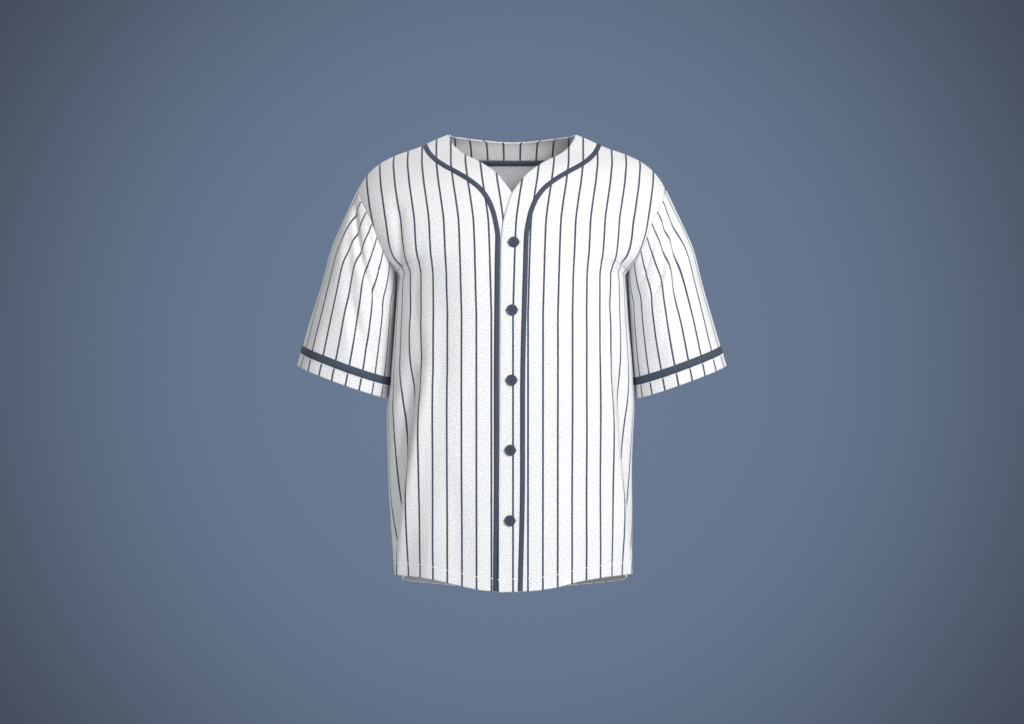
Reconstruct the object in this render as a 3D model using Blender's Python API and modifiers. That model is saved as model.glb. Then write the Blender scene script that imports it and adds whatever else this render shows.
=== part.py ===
"""Short-sleeved baseball jersey in its worn shape, with nobody in it: sewn panels, tape trims and buttons.

Metres, +Z up, the front towards -Y and +X towards the wearer's left. The origin is midway between the two
points where the shoulder seams meet the neck. Heights are therefore mostly negative.

Every panel is a grid of points on one body form. The form is a stack of level sections, each a rounded
square with its own half width, depths and squareness. A panel's outline is drawn in the front view, and its
folds are soft troughs and ridges that move its points along their normals.
"""

import math
from collections import namedtuple

import bmesh
import bpy
import numpy as np
from mathutils import Matrix, Vector
from mathutils.bvhtree import BVHTree

# Cloth and seams
WALL = 0.0011
LAY_GAP = 0.0003
SEAM_GAP = 0.0012
ARMHOLE_GAP = 0.0015
UNDERLAP_DROP = 0.0029
UNDERLAP_FULL_X = -0.026
UNDERLAP_NONE_X = -0.070
UNDERLAP_FULL_Z = -0.100
UNDERLAP_NONE_Z = -0.060

# Heights of the garment's own marks
NECK_POINT_Z = 0.002
BACK_NECK_Z = -0.003
SHOULDER_TIP_Z = -0.090
UNDERARM_Z = -0.233
SIDE_HEM_Z = -0.725
FRONT_HEM_Z = -0.747
BACK_HEM_Z = -0.768

# Share of a panel's height at which the side seam ends and the armhole starts
UNDERARM_SHARE = 0.70
# Share of the back's half width that the neck takes from the centre
NECK_SHARE = 0.42

# Trims
TAPE_THICK = 0.0010
PIPING_WIDTH = 0.008
BACK_PIPING_HALF_X = 0.1455
BACK_PIPING_REACH_Y = 0.090
BACK_PIPING_LIFT = 0.0021
BACK_PIPING_CELLS = 40
NECK_TAPE_TOP_Z = -0.0325
NECK_TAPE_LOW_Z = -0.0402
NECK_TAPE_WIDTH = 0.0095
FACING_PLAIN_DEPTH = 0.040
FACING_CLEAR_SHARE = 0.06
FACING_LEVEL_X = 0.118
FACING_PLAIN_X = 0.180
CUFF_TO_BAND = 0.021
BAND_WIDTH = 0.013

# Buttons
BUTTON_RADIUS = 0.009
BUTTON_THICK = 0.0028
BUTTON_RIM_WIDTH = 0.0018
BUTTON_RIM_HEIGHT = 0.0006
BUTTON_HOLE_RADIUS = 0.0009
BUTTON_HOLE_APART = 0.0036
BUTTON_SIDES = 20

# Grid of each panel, in cells
FRONT_COLUMNS = 22
FRONT_ROWS = 30
BACK_HALF_COLUMNS = 15
BACK_ROWS = 22
FACING_HALF_COLUMNS = 6
SLEEVE_ROUND = 28
SLEEVE_ROWS = 10
FINE = 120
SIDE_BUNCHING = 0.75
NEAR_SHOULDER = [0.030, 0.012, 0.0]
BELOW_NECK_TAPE = (0.036, 0.016)
ABOVE_NECK_TAPE = (0.030, 0.016)

FRONT, BACK = -1, 1
WEARER_LEFT, WEARER_RIGHT = 1, -1

Section = namedtuple("Section", "z half_width front_depth back_depth side_y front_square back_square shift")
SECTIONS = (
    Section(-0.780, 0.1980, 0.119, 0.119, 0.000, 2.5, 2.5, 0.0015),
    Section(-0.720, 0.1985, 0.121, 0.118, 0.000, 2.5, 2.5, 0.0015),
    Section(-0.650, 0.2005, 0.126, 0.117, 0.000, 2.6, 2.5, -0.0005),
    Section(-0.560, 0.2025, 0.130, 0.116, 0.000, 2.6, 2.5, -0.0030),
    Section(-0.460, 0.2050, 0.134, 0.117, 0.000, 2.6, 2.5, -0.0025),
    Section(-0.425, 0.2015, 0.135, 0.118, 0.000, 2.6, 2.5, -0.0010),
    Section(-0.340, 0.1965, 0.137, 0.122, 0.000, 2.6, 2.5, 0.0),
    Section(-0.275, 0.1915, 0.136, 0.126, 0.000, 2.5, 2.5, 0.0),
    Section(-0.236, 0.1880, 0.134, 0.127, 0.000, 2.5, 2.5, 0.0),
    Section(-0.225, 0.1970, 0.133, 0.127, 0.001, 2.5, 2.5, 0.0),
    Section(-0.207, 0.2170, 0.131, 0.127, 0.002, 2.5, 2.5, 0.0),
    Section(-0.181, 0.2370, 0.127, 0.125, 0.005, 2.5, 2.5, 0.0),
    Section(-0.147, 0.2550, 0.121, 0.121, 0.008, 2.4, 2.4, 0.0),
    Section(-0.112, 0.2630, 0.114, 0.116, 0.010, 2.3, 2.3, 0.0),
    Section(-0.090, 0.2561, 0.107, 0.112, 0.010, 2.2, 2.2, 0.0),
    Section(-0.078, 0.2500, 0.100, 0.108, 0.010, 2.1, 2.2, 0.0),
    Section(-0.060, 0.2362, 0.088, 0.102, 0.011, 2.0, 2.1, 0.0),
    Section(-0.046, 0.2194, 0.073, 0.096, 0.012, 2.0, 2.0, 0.0),
    Section(-0.033, 0.1943, 0.053, 0.088, 0.012, 2.0, 2.0, 0.0),
    Section(-0.020, 0.1580, 0.040, 0.079, 0.012, 2.0, 1.9, 0.0),
    Section(-0.006, 0.1273, 0.024, 0.068, 0.012, 2.0, 1.9, 0.0),
    Section(NECK_POINT_Z, 0.1080, 0.012, 0.058, 0.012, 2.0, 1.9, 0.0),
)

# The button edge and neckline of a front in the front view, x towards the front's own side
EdgePoint = namedtuple("EdgePoint", "z left_x right_x")
FRONT_EDGE = (
    EdgePoint(-0.750, -0.0240, -0.0132),
    EdgePoint(-0.600, -0.0209, -0.0142),
    EdgePoint(-0.440, -0.0193, -0.0150),
    EdgePoint(-0.207, -0.0177, -0.0163),
    EdgePoint(-0.181, -0.0169, -0.0160),
    EdgePoint(-0.152, -0.0137, -0.0137),
    EdgePoint(-0.125, -0.0065, -0.0065),
    EdgePoint(-0.106, 0.0000, 0.0000),
    EdgePoint(-0.087, 0.0130, 0.0130),
    EdgePoint(-0.073, 0.0238, 0.0238),
    EdgePoint(-0.051, 0.0520, 0.0520),
    EdgePoint(-0.036, 0.0780, 0.0780),
    EdgePoint(-0.020, 0.0960, 0.0960),
    EdgePoint(NECK_POINT_Z, 0.1080, 0.1080),
)

# Middle line of a front's piping in the front view, x towards the front's own side
PipingPoint = namedtuple("PipingPoint", "z left_x right_x")
PIPING_LINE = (
    PipingPoint(-0.7470, 0.0132, 0.0268),
    PipingPoint(-0.5500, 0.0169, 0.0251),
    PipingPoint(-0.4390, 0.0169, 0.0251),
    PipingPoint(-0.2090, 0.0219, 0.0235),
    PipingPoint(-0.1780, 0.0229, 0.0229),
    PipingPoint(-0.1440, 0.0283, 0.0283),
    PipingPoint(-0.1190, 0.0370, 0.0370),
    PipingPoint(-0.1000, 0.0497, 0.0497),
    PipingPoint(-0.0833, 0.0689, 0.0689),
    PipingPoint(-0.0690, 0.0909, 0.0909),
    PipingPoint(-0.0571, 0.1105, 0.1105),
    PipingPoint(-0.0445, 0.1266, 0.1266),
    PipingPoint(-0.0300, 0.1385, 0.1385),
    PipingPoint(-0.0145, 0.1460, 0.1460),
)

ArmholePoint = namedtuple("ArmholePoint", "z front_x back_x")
ARMHOLE = (
    ArmholePoint(UNDERARM_Z, 0.1895, 0.1895),
    ArmholePoint(-0.225, 0.1930, 0.1935),
    ArmholePoint(-0.207, 0.2035, 0.2060),
    ArmholePoint(-0.181, 0.2165, 0.2200),
    ArmholePoint(-0.147, 0.2300, 0.2340),
    ArmholePoint(-0.112, 0.2480, 0.2500),
    ArmholePoint(SHOULDER_TIP_Z, 0.2561, 0.2561),
)

# Drop of the curved hems from the side seam to the centre, as shares of the whole drop
HemPoint = namedtuple("HemPoint", "share front back")
HEM_CURVE = (
    HemPoint(0.00, 1.00, 1.00),
    HemPoint(0.25, 0.90, 0.97),
    HemPoint(0.39, 0.73, 0.92),
    HemPoint(0.51, 0.48, 0.86),
    HemPoint(0.63, 0.23, 0.79),
    HemPoint(0.79, 0.03, 0.68),
    HemPoint(0.87, 0.01, 0.60),
    HemPoint(0.95, 0.00, 0.43),
    HemPoint(1.00, 0.00, 0.00),
)

# A fold of a body panel: how far its line lies from the centre at its top and bottom, and how far it bows
BodyFold = namedtuple("BodyFold", "side top_u top_z low_u low_z bow depth half_width")
FRONT_FOLDS = (
    BodyFold(WEARER_RIGHT, 0.128, -0.330, 0.215, -0.760, -0.006, 0.0080, 0.017),
    BodyFold(WEARER_RIGHT, 0.158, -0.310, 0.250, -0.760, -0.006, -0.0150, 0.019),
    BodyFold(WEARER_RIGHT, 0.098, -0.520, 0.082, -0.780, 0.000, -0.0040, 0.022),
    BodyFold(WEARER_RIGHT, 0.196, -0.095, 0.206, -0.245, 0.004, -0.0050, 0.014),
    BodyFold(WEARER_RIGHT, 0.110, -0.250, 0.120, -0.420, 0.000, -0.0030, 0.018),
    BodyFold(WEARER_LEFT, 0.145, -0.330, 0.230, -0.760, -0.008, 0.0060, 0.017),
    BodyFold(WEARER_LEFT, 0.178, -0.320, 0.262, -0.760, -0.006, -0.0110, 0.018),
    BodyFold(WEARER_LEFT, 0.095, -0.430, 0.112, -0.780, 0.000, -0.0030, 0.022),
    BodyFold(WEARER_LEFT, 0.198, -0.095, 0.206, -0.245, 0.004, -0.0045, 0.014),
)
BACK_FOLDS = (
    BodyFold(WEARER_RIGHT, 0.120, -0.300, 0.205, -0.790, -0.006, 0.0070, 0.018),
    BodyFold(WEARER_RIGHT, 0.155, -0.290, 0.242, -0.790, -0.006, -0.0120, 0.020),
    BodyFold(WEARER_RIGHT, 0.050, -0.420, 0.072, -0.800, 0.000, -0.0050, 0.024),
    BodyFold(WEARER_RIGHT, 0.192, -0.100, 0.205, -0.240, 0.004, -0.0045, 0.015),
    BodyFold(WEARER_LEFT, 0.132, -0.310, 0.222, -0.790, -0.008, 0.0060, 0.018),
    BodyFold(WEARER_LEFT, 0.166, -0.300, 0.255, -0.790, -0.006, -0.0100, 0.019),
    BodyFold(WEARER_LEFT, 0.064, -0.480, 0.050, -0.800, 0.000, -0.0045, 0.024),
    BodyFold(WEARER_LEFT, 0.194, -0.100, 0.205, -0.240, 0.004, -0.0050, 0.015),
)

# Rings of a sleeve from armhole to cuff, x towards its own side; outer is the top line, inner the underarm's
Ring = namedtuple("Ring", "share outer_x outer_z inner_x inner_z front_depth back_depth middle_y")
SLEEVE_RINGS = (
    Ring(0.00, 0.2570, -0.0905, 0.1925, -0.2335, 0.068, 0.072, 0.006),
    Ring(0.24, 0.2885, -0.1575, 0.1932, -0.2700, 0.077, 0.080, 0.004),
    Ring(0.35, 0.3015, -0.1900, 0.1940, -0.2900, 0.080, 0.082, 0.003),
    Ring(0.52, 0.3150, -0.2410, 0.1962, -0.3230, 0.079, 0.081, 0.002),
    Ring(0.74, 0.3350, -0.3080, 0.1999, -0.3720, 0.074, 0.076, 0.000),
    Ring(1.00, 0.3570, -0.3825, 0.2058, -0.4370, 0.068, 0.070, 0.000),
)
CUFF_DIP = 0.003

# A fold of a sleeve: the angle round the sleeve and the share of its length at both ends of the fold's line
SleeveFold = namedtuple("SleeveFold", "side top_angle top_share low_angle low_share depth half_width")
SLEEVE_FOLDS = (
    SleeveFold(WEARER_RIGHT, 38, 0.04, 122, 0.40, -0.0070, 0.013),
    SleeveFold(WEARER_RIGHT, 45, 0.16, 114, 0.78, -0.0075, 0.015),
    SleeveFold(WEARER_RIGHT, 30, 0.10, 90, 0.55, 0.0040, 0.014),
    SleeveFold(WEARER_RIGHT, 320, 0.06, 240, 0.45, -0.0065, 0.014),
    SleeveFold(WEARER_RIGHT, 312, 0.20, 250, 0.80, -0.0060, 0.016),
    SleeveFold(WEARER_LEFT, 50, 0.04, 108, 0.40, -0.0065, 0.013),
    SleeveFold(WEARER_LEFT, 40, 0.08, 98, 0.70, -0.0070, 0.014),
    SleeveFold(WEARER_LEFT, 58, 0.22, 72, 0.66, -0.0050, 0.013),
    SleeveFold(WEARER_LEFT, 318, 0.06, 244, 0.50, -0.0065, 0.014),
    SleeveFold(WEARER_LEFT, 305, 0.24, 262, 0.78, -0.0055, 0.016),
)

# How folds fade: as shares of their own length, or as distances from a seam
FOLD_START_SHARE = 0.35
FOLD_END_SHARE = 0.20
SHORT_FOLD_Z = -0.470
SIDE_SEAM_FADE = 0.020
TOP_FADE = 0.030
SLEEVE_RADIUS = 0.075
SLEEVE_FOLD_PAST = 0.15
SLEEVE_FOLD_FADE = 0.40
ARMHOLE_FADE = 0.10
UNDERARM_PLAIN = 25

# Button centres in the front view; they follow the slight lean of the button edge
ButtonPlace = namedtuple("ButtonPlace", "name x z")
BUTTONS = (
    ButtonPlace("button_1", 0.0026, -0.186),
    ButtonPlace("button_2", 0.0000, -0.295),
    ButtonPlace("button_3", -0.0008, -0.407),
    ButtonPlace("button_4", -0.0027, -0.519),
    ButtonPlace("button_5", -0.0034, -0.632),
)

COLLECTION_NAME = "baseball_jersey"
TOOLS_NAME = "baseball_jersey_cutters"


def clear_scene():
    for obj in list(bpy.data.objects):
        bpy.data.objects.remove(obj, do_unlink=True)


def new_collection(name, shown=True):
    made = bpy.data.collections.new(name)
    bpy.context.scene.collection.children.link(made)
    made.hide_render = not shown
    return made


def smooth(knots, values, at):
    """A monotone cubic through the knots, level beyond both ends."""
    knots = np.asarray(knots, float)
    values = np.asarray(values, float)
    at = np.clip(np.asarray(at, float), knots[0], knots[-1])
    steps = np.diff(knots)
    slopes = np.diff(values) / steps
    before, after = slopes[:-1], slopes[1:]
    agree = before * after > 0
    total = np.where(agree, before + after, 1.0)
    inner = np.where(agree, 2 * before * after / total, 0.0)
    tangents = np.concatenate([slopes[:1], inner, slopes[-1:]])
    i = np.clip(np.searchsorted(knots, at, side="right") - 1, 0, len(steps) - 1)
    h = steps[i]
    q = (at - knots[i]) / h
    return (
        values[i] * (1 + 2 * q) * (1 - q) ** 2
        + values[i + 1] * q**2 * (3 - 2 * q)
        + h * tangents[i] * q * (1 - q) ** 2
        - h * tangents[i + 1] * q**2 * (1 - q)
    )


def read(table, column, at, key="z"):
    """One column of a table at the given places of its key column."""
    knots = [getattr(row, key) for row in table]
    return smooth(knots, [getattr(row, column) for row in table], at)


def ease(value):
    value = np.clip(value, 0.0, 1.0)
    return value * value * (3 - 2 * value)


def surface_y(x, z, face):
    """Depth of the body form at a point of the front view, on its front or its back."""
    front = face == FRONT
    bulge = read(SECTIONS, "front_depth" if front else "back_depth", z)
    square = read(SECTIONS, "front_square" if front else "back_square", z)
    reach = np.abs(x - read(SECTIONS, "shift", z)) / read(SECTIONS, "half_width", z)
    rise = (1 - np.clip(reach, 0, 1) ** square) ** (1 / square)
    return read(SECTIONS, "side_y", z) + face * (SEAM_GAP / 2 + bulge * rise)


def side_x(z, side):
    """Half width of the body at a height, on one side, measured from the centre plane."""
    return read(SECTIONS, "half_width", z) + side * read(SECTIONS, "shift", z)


def right_boundary(share, face, side):
    """Side seam up to the underarm, then the armhole up to the shoulder tip."""
    z = np.interp(share, [0, UNDERARM_SHARE, 1], [SIDE_HEM_Z, UNDERARM_Z, SHOULDER_TIP_Z])
    armhole = read(ARMHOLE, "front_x" if face == FRONT else "back_x", z)
    return np.where(z < UNDERARM_Z, side_x(z, side), armhole), z


def front_boundary(share, side):
    """Button edge up to the bottom of the neckline, then the neckline up to the shoulder seam."""
    z = FRONT_HEM_Z + (NECK_POINT_Z - FRONT_HEM_Z) * share
    return read(FRONT_EDGE, "left_x" if side == WEARER_LEFT else "right_x", z), z


def shoulder_line(share):
    """The shoulder seam from the neck point to the tip."""
    upper = [row for row in SECTIONS if row.z >= SHOULDER_TIP_Z][::-1]
    x = upper[0].half_width + (upper[-1].half_width - upper[0].half_width) * share
    return x, smooth([row.half_width for row in upper], [row.z for row in upper], x)


def coons(left, right, low, top, s, t):
    """Fills four boundary curves of the front view, each a pair of arrays (x, z)."""
    filled = []
    for axis in range(2):
        a, b = left[axis][:, None], right[axis][:, None]
        c, d = low[axis][None, :], top[axis][None, :]
        corners = (1 - s) * ((1 - t) * low[axis][0] + t * low[axis][-1]) + s * (
            (1 - t) * top[axis][0] + t * top[axis][-1]
        )
        filled.append((1 - t) * a + t * b + (1 - s) * c + s * d - corners)
    return filled


def fine_half(face, side):
    """A fine grid of points on half of the body, rows from hem to shoulder, columns from centre to side."""
    rows = np.sin(np.linspace(0, math.pi / 2, FINE + 1))
    across = np.sin(np.linspace(0, math.pi / 2, FINE + 1))
    right = right_boundary(rows, face, side)
    if face == FRONT:
        left = front_boundary(rows, side)
        top = shoulder_line(across)
        centre_z = FRONT_HEM_Z
    else:
        left = (np.zeros(FINE + 1), BACK_HEM_Z + (BACK_NECK_Z - BACK_HEM_Z) * rows)
        neck_x = shoulder_line(0.0)[0] * np.clip(across / NECK_SHARE, 0, 1)
        past = np.clip((across - NECK_SHARE) / (1 - NECK_SHARE), 0, 1)
        seam_x, seam_z = shoulder_line(past)
        lift = ease(across / NECK_SHARE) * (NECK_POINT_Z - BACK_NECK_Z)
        on_neck = across <= NECK_SHARE
        top = (np.where(on_neck, neck_x, seam_x), np.where(on_neck, BACK_NECK_Z + lift, seam_z))
        centre_z = BACK_HEM_Z
    low_x = left[0][0] + (right[0][0] - left[0][0]) * across
    drop = read(HEM_CURVE, "front" if face == FRONT else "back", across, "share")
    low_z = SIDE_HEM_Z + (centre_z - SIDE_HEM_Z) * drop
    x, z = coons(left, right, (low_x, low_z), top, rows[:, None], across[None, :])
    y = surface_y(side * x, z, face)
    return np.stack([side * x, y, z], axis=-1)


def along(points):
    """Distance of each point of a polyline from its start."""
    return np.concatenate([[0.0], np.cumsum(np.linalg.norm(np.diff(points, axis=0), axis=1))])


def spaced(points, near, count, far=(), bunching=1.0):
    """A polyline's points at fixed distances from its start and end, and between them closer to the end."""
    run = along(points)
    total = run[-1]
    start, end = near[-1], total - (far[0] if far else 0.0)
    middle = start + (end - start) * np.linspace(0, 1, count + 1)[1:] ** bunching
    wanted = np.concatenate([near, middle, [total - gap for gap in far[1:]]])
    return np.stack([np.interp(wanted, run, points[:, axis]) for axis in range(3)], axis=-1)


def regrid(fine, near_left, columns, rows, near_top):
    """Resamples a fine grid to a panel's own rows and columns, which lie closer towards the side folds.

    The two functions give the first columns' distances from a row's start, and the top rows' from a
    column's end.
    """
    wide = np.stack([spaced(row, near_left(row), columns, bunching=SIDE_BUNCHING) for row in fine])
    tall = [spaced(column, [0.0], rows, near_top(column)) for column in wide.swapaxes(0, 1)]
    return np.stack(tall, axis=1)


def piping_edges(row, side):
    """Distances from a row's start to the two edges of the piping that crosses it."""
    column = "left_x" if side == WEARER_LEFT else "right_x"
    z = row[:, 2]
    slope = (read(PIPING_LINE, column, z + LAY_GAP) - read(PIPING_LINE, column, z - LAY_GAP)) / (2 * LAY_GAP)
    off_line = (side * row[:, 0] - read(PIPING_LINE, column, z)) / np.sqrt(1 + slope**2)
    return [float(np.interp(way * PIPING_WIDTH / 2, off_line, along(row))) for way in (-1, 1)]


def facing_rows(column):
    """Distances from the neckline to the lower and the upper edge of the neck tape, which lies level."""
    run = along(column)
    level = run[-1] - np.interp(NECK_TAPE_TOP_Z, column[:, 2], run)
    level_low = run[-1] - np.interp(NECK_TAPE_LOW_Z, column[:, 2], run)
    plain = ease((abs(column[-1, 0]) - FACING_LEVEL_X) / (FACING_PLAIN_X - FACING_LEVEL_X))
    upper = level + (FACING_PLAIN_DEPTH - level) * plain
    lower = level_low + (FACING_PLAIN_DEPTH + NECK_TAPE_WIDTH - level_low) * plain
    return float(lower), float(upper)


def body_relief(grid, folds, side):
    """Height of a body panel's folds at each of its points, fading out at the side seam and at the top."""
    steps = np.linalg.norm(np.diff(grid, axis=1), axis=-1)
    run = np.concatenate([np.zeros((len(grid), 1)), np.cumsum(steps, axis=1)], axis=1)
    u = side * grid[:, :1, 0] + run
    z = grid[..., 2]
    relief = np.zeros(z.shape)
    for fold in folds:
        if fold.side != side:
            continue
        q = np.clip((fold.top_z - z) / (fold.top_z - fold.low_z), 0, 1)
        line = fold.top_u + (fold.low_u - fold.top_u) * q + fold.bow * 4 * q * (1 - q)
        fade = ease(q / FOLD_START_SHARE)
        if fold.low_z > SHORT_FOLD_Z:
            fade = fade * ease((1 - q) / FOLD_END_SHARE)
        relief += fold.depth * fade * np.exp(-(((u - line) / fold.half_width) ** 2))
    to_side = ease((run[:, -1:] - run) / SIDE_SEAM_FADE)
    to_top = ease((z[-1:, :] - z) / TOP_FADE)
    return relief * to_side * to_top


def unit(vectors):
    return vectors / np.linalg.norm(vectors, axis=-1, keepdims=True)


def outward(grid, turn):
    """Unit normals of a grid, turned by the sign so that they point out of the garment."""
    return unit(np.cross(np.gradient(grid, axis=1), np.gradient(grid, axis=0))) * turn


def lifted(grid, turn, height):
    return grid + outward(grid, turn) * height


def front_grid(side):
    """Points of one front; columns 2 and 3 are the two edges of its piping."""

    def near_left(row):
        inner, outer = piping_edges(row, side)
        return [0.0, inner / 2, inner, outer]

    fine = fine_half(FRONT, side)
    grid = regrid(fine, near_left, FRONT_COLUMNS - 3, FRONT_ROWS - 2, lambda _: NEAR_SHOULDER)
    if side == WEARER_RIGHT:
        across = (grid[..., 0] - UNDERLAP_NONE_X) / (UNDERLAP_FULL_X - UNDERLAP_NONE_X)
        down = (UNDERLAP_NONE_Z - grid[..., 2]) / (UNDERLAP_NONE_Z - UNDERLAP_FULL_Z)
        grid[..., 1] += UNDERLAP_DROP * ease(across) * ease(down)
    return grid + outward(grid, side) * body_relief(grid, FRONT_FOLDS, side)[..., None]


def back_half(side):
    """Points of half the back; its top rows are the edges of the facing and of the neck tape."""

    def near_top(column):
        lower, upper = facing_rows(column)
        below = [lower + distance for distance in BELOW_NECK_TAPE]
        return [*below, lower, upper, *ABOVE_NECK_TAPE, 0.0]

    grid = regrid(fine_half(BACK, side), lambda _: [0.0], BACK_HALF_COLUMNS, BACK_ROWS - 6, near_top)
    return grid + outward(grid, -side) * body_relief(grid, BACK_FOLDS, side)[..., None]


def armhole_ring(side, angles):
    """The armhole's own points at angles round the sleeve: 0 at the tip, 90 in front, 180 under the arm."""
    drop = (1 - np.cos(angles)) / 2
    z = SHOULDER_TIP_Z + (UNDERARM_Z - SHOULDER_TIP_Z) * drop
    front = np.sin(angles) >= 0
    x = np.where(front, read(ARMHOLE, "front_x", z), read(ARMHOLE, "back_x", z))
    y = np.where(front, surface_y(side * x, z, FRONT), surface_y(side * x, z, BACK))
    return np.stack([side * x, y, z], axis=-1)


def ring_points(side, share, angles):
    """An oval ring of the sleeve at a share of its length."""
    value = {name: read(SLEEVE_RINGS, name, share, "share") for name in Ring._fields[1:]}
    middle_x = (value["outer_x"] + value["inner_x"]) / 2
    middle_z = (value["outer_z"] + value["inner_z"]) / 2
    reach_x = (value["outer_x"] - value["inner_x"]) / 2
    reach_z = (value["outer_z"] - value["inner_z"]) / 2
    turn = np.sin(angles)
    depth = np.where(turn >= 0, value["front_depth"], value["back_depth"])
    x = middle_x + reach_x * np.cos(angles)
    z = middle_z + reach_z * np.cos(angles) - CUFF_DIP * share * np.maximum(turn, 0)
    y = value["middle_y"] - depth * turn
    return np.stack([side * x, y, z], axis=-1)


def sleeve_relief(side, angles, shares):
    """Height of a sleeve's folds, none at the armhole or where the sleeve hangs beside the body."""
    relief = np.zeros((len(shares), len(angles)))
    degrees = np.degrees(angles)[None, :]
    for fold in SLEEVE_FOLDS:
        if fold.side != side:
            continue
        q = (shares[:, None] - fold.top_share) / (fold.low_share - fold.top_share)
        line = fold.top_angle + (fold.low_angle - fold.top_angle) * np.clip(q, 0, 1)
        gap = np.radians(degrees - line) * SLEEVE_RADIUS
        fade = ease((q + SLEEVE_FOLD_PAST) / SLEEVE_FOLD_FADE)
        fade = fade * ease((1 + SLEEVE_FOLD_PAST - q) / SLEEVE_FOLD_FADE)
        relief += fold.depth * fade * np.exp(-((gap / fold.half_width) ** 2))
    from_armhole = ease(shares[:, None] / ARMHOLE_FADE)
    from_body = ease((np.abs(degrees - 180) - UNDERARM_PLAIN) / UNDERARM_PLAIN)
    return relief * from_armhole * from_body


def sleeve_grid(side):
    """Rings of a sleeve from armhole to cuff; rows -3 and -2 are the edges of its band."""
    angles = np.linspace(0, 2 * math.pi, SLEEVE_ROUND + 1)
    shares = np.linspace(0, 1, FINE + 1)
    seam = armhole_ring(side, angles)
    first = ring_points(side, np.zeros(1), angles)
    slope = seam[0] - seam[SLEEVE_ROUND // 2]
    away = unit(np.array([side * slope[2], 0.0, -side * slope[0]]))
    fit = seam + ARMHOLE_GAP * away - first
    fine = np.stack(
        [ring_points(side, np.full(1, share), angles) + fit * (1 - share) ** 3 for share in shares]
    )
    fine = fine + outward(fine, side) * sleeve_relief(side, angles, shares)[..., None]
    near_cuff = [CUFF_TO_BAND + BAND_WIDTH, CUFF_TO_BAND, 0.0]
    columns = [spaced(fine[:, j], [0.0], SLEEVE_ROWS - 2, near_cuff) for j in range(fine.shape[1])]
    grid = np.stack(columns, axis=1)
    grid[:, -1] = grid[:, 0]
    return grid


def grid_object(name, grid, material, collection, flip=False, closed=False):
    """A mesh grid from a primitive, its vertices placed at the grid's points."""
    rows, columns = grid.shape[:2]
    bm = bmesh.new()
    bmesh.ops.create_grid(bm, x_segments=columns - 1, y_segments=rows - 1, size=1.0)
    for vert in bm.verts:
        j = round((vert.co.x + 1) / 2 * (columns - 1))
        i = round((vert.co.y + 1) / 2 * (rows - 1))
        vert.co = Vector(grid[i, j])
    if flip:
        bmesh.ops.reverse_faces(bm, faces=bm.faces)
    if closed:
        bmesh.ops.remove_doubles(bm, verts=bm.verts, dist=1e-6)
    mesh = bpy.data.meshes.new(name)
    bm.to_mesh(mesh)
    bm.free()
    mesh.shade_smooth()
    mesh.materials.append(material)
    obj = bpy.data.objects.new(name, mesh)
    collection.objects.link(obj)
    return obj


def thicken(obj, thickness):
    """Gives an open surface its wall, on the side away from its normals."""
    wall = obj.modifiers.new("wall", "SOLIDIFY")
    wall.thickness = thickness
    wall.offset = -1.0
    return obj


def principled(name, colour, roughness):
    material = bpy.data.materials.new(name)
    material.use_nodes = True
    shader = material.node_tree.nodes["Principled BSDF"]
    shader.inputs["Base Color"].default_value = (*colour, 1.0)
    shader.inputs["Roughness"].default_value = roughness
    shader.inputs["Metallic"].default_value = 0.0
    return material


def pinstripe_cloth():
    return principled("pinstripe_cloth", (0.82, 0.82, 0.84), 0.85)


def navy_tape():
    return principled("navy_tape", (0.045, 0.070, 0.125), 0.80)


def navy_resin():
    return principled("navy_resin", (0.040, 0.060, 0.105), 0.35)


def make_front(name, side, material, collection):
    grid = front_grid(side)
    thicken(grid_object(name, grid, material, collection, flip=side == WEARER_RIGHT), WALL)
    return grid


def make_back(name, material, collection):
    """The back in one piece; its columns run from the wearer's left to the right."""
    left, right = back_half(WEARER_LEFT), back_half(WEARER_RIGHT)
    grid = np.concatenate([left[:, :0:-1], right], axis=1)
    thicken(grid_object(name, grid, material, collection), WALL)
    return grid


def make_sleeve(name, side, material, collection):
    grid = sleeve_grid(side)
    flip = side == WEARER_RIGHT
    thicken(grid_object(name, grid, material, collection, flip=flip, closed=True), WALL)
    return grid


def make_front_piping(name, side, front, material, collection):
    """Piping tape down a front, from the shoulder seam to the hem, on the front's own columns."""
    strip = lifted(front, side, LAY_GAP + TAPE_THICK)[:, 2:4]
    flip = side == WEARER_RIGHT
    thicken(grid_object(name, strip, material, collection, flip=flip), TAPE_THICK)


def back_height(x, y):
    """Height of the back's surface over a point of the plan, near the shoulders."""
    heights = np.linspace(NECK_POINT_Z, 2 * SHOULDER_TIP_Z, FINE)
    return float(np.interp(y, surface_y(np.full(FINE, x), heights, BACK), heights))


def nearest_on(grid, points):
    """The nearest points on a panel's own facets, and the facets' normals."""
    rows, columns = grid.shape[:2]
    corners = [Vector(point) for point in grid.reshape(-1, 3)]
    faces = []
    for i in range(rows - 1):
        for j in range(columns - 1):
            a = i * columns + j
            faces.append((a, a + 1, a + columns + 1, a + columns))
    tree = BVHTree.FromPolygons(corners, faces)
    found = [tree.find_nearest(Vector(point)) for point in points]
    return np.array([hit[0] for hit in found]), np.array([hit[1] for hit in found])


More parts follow.
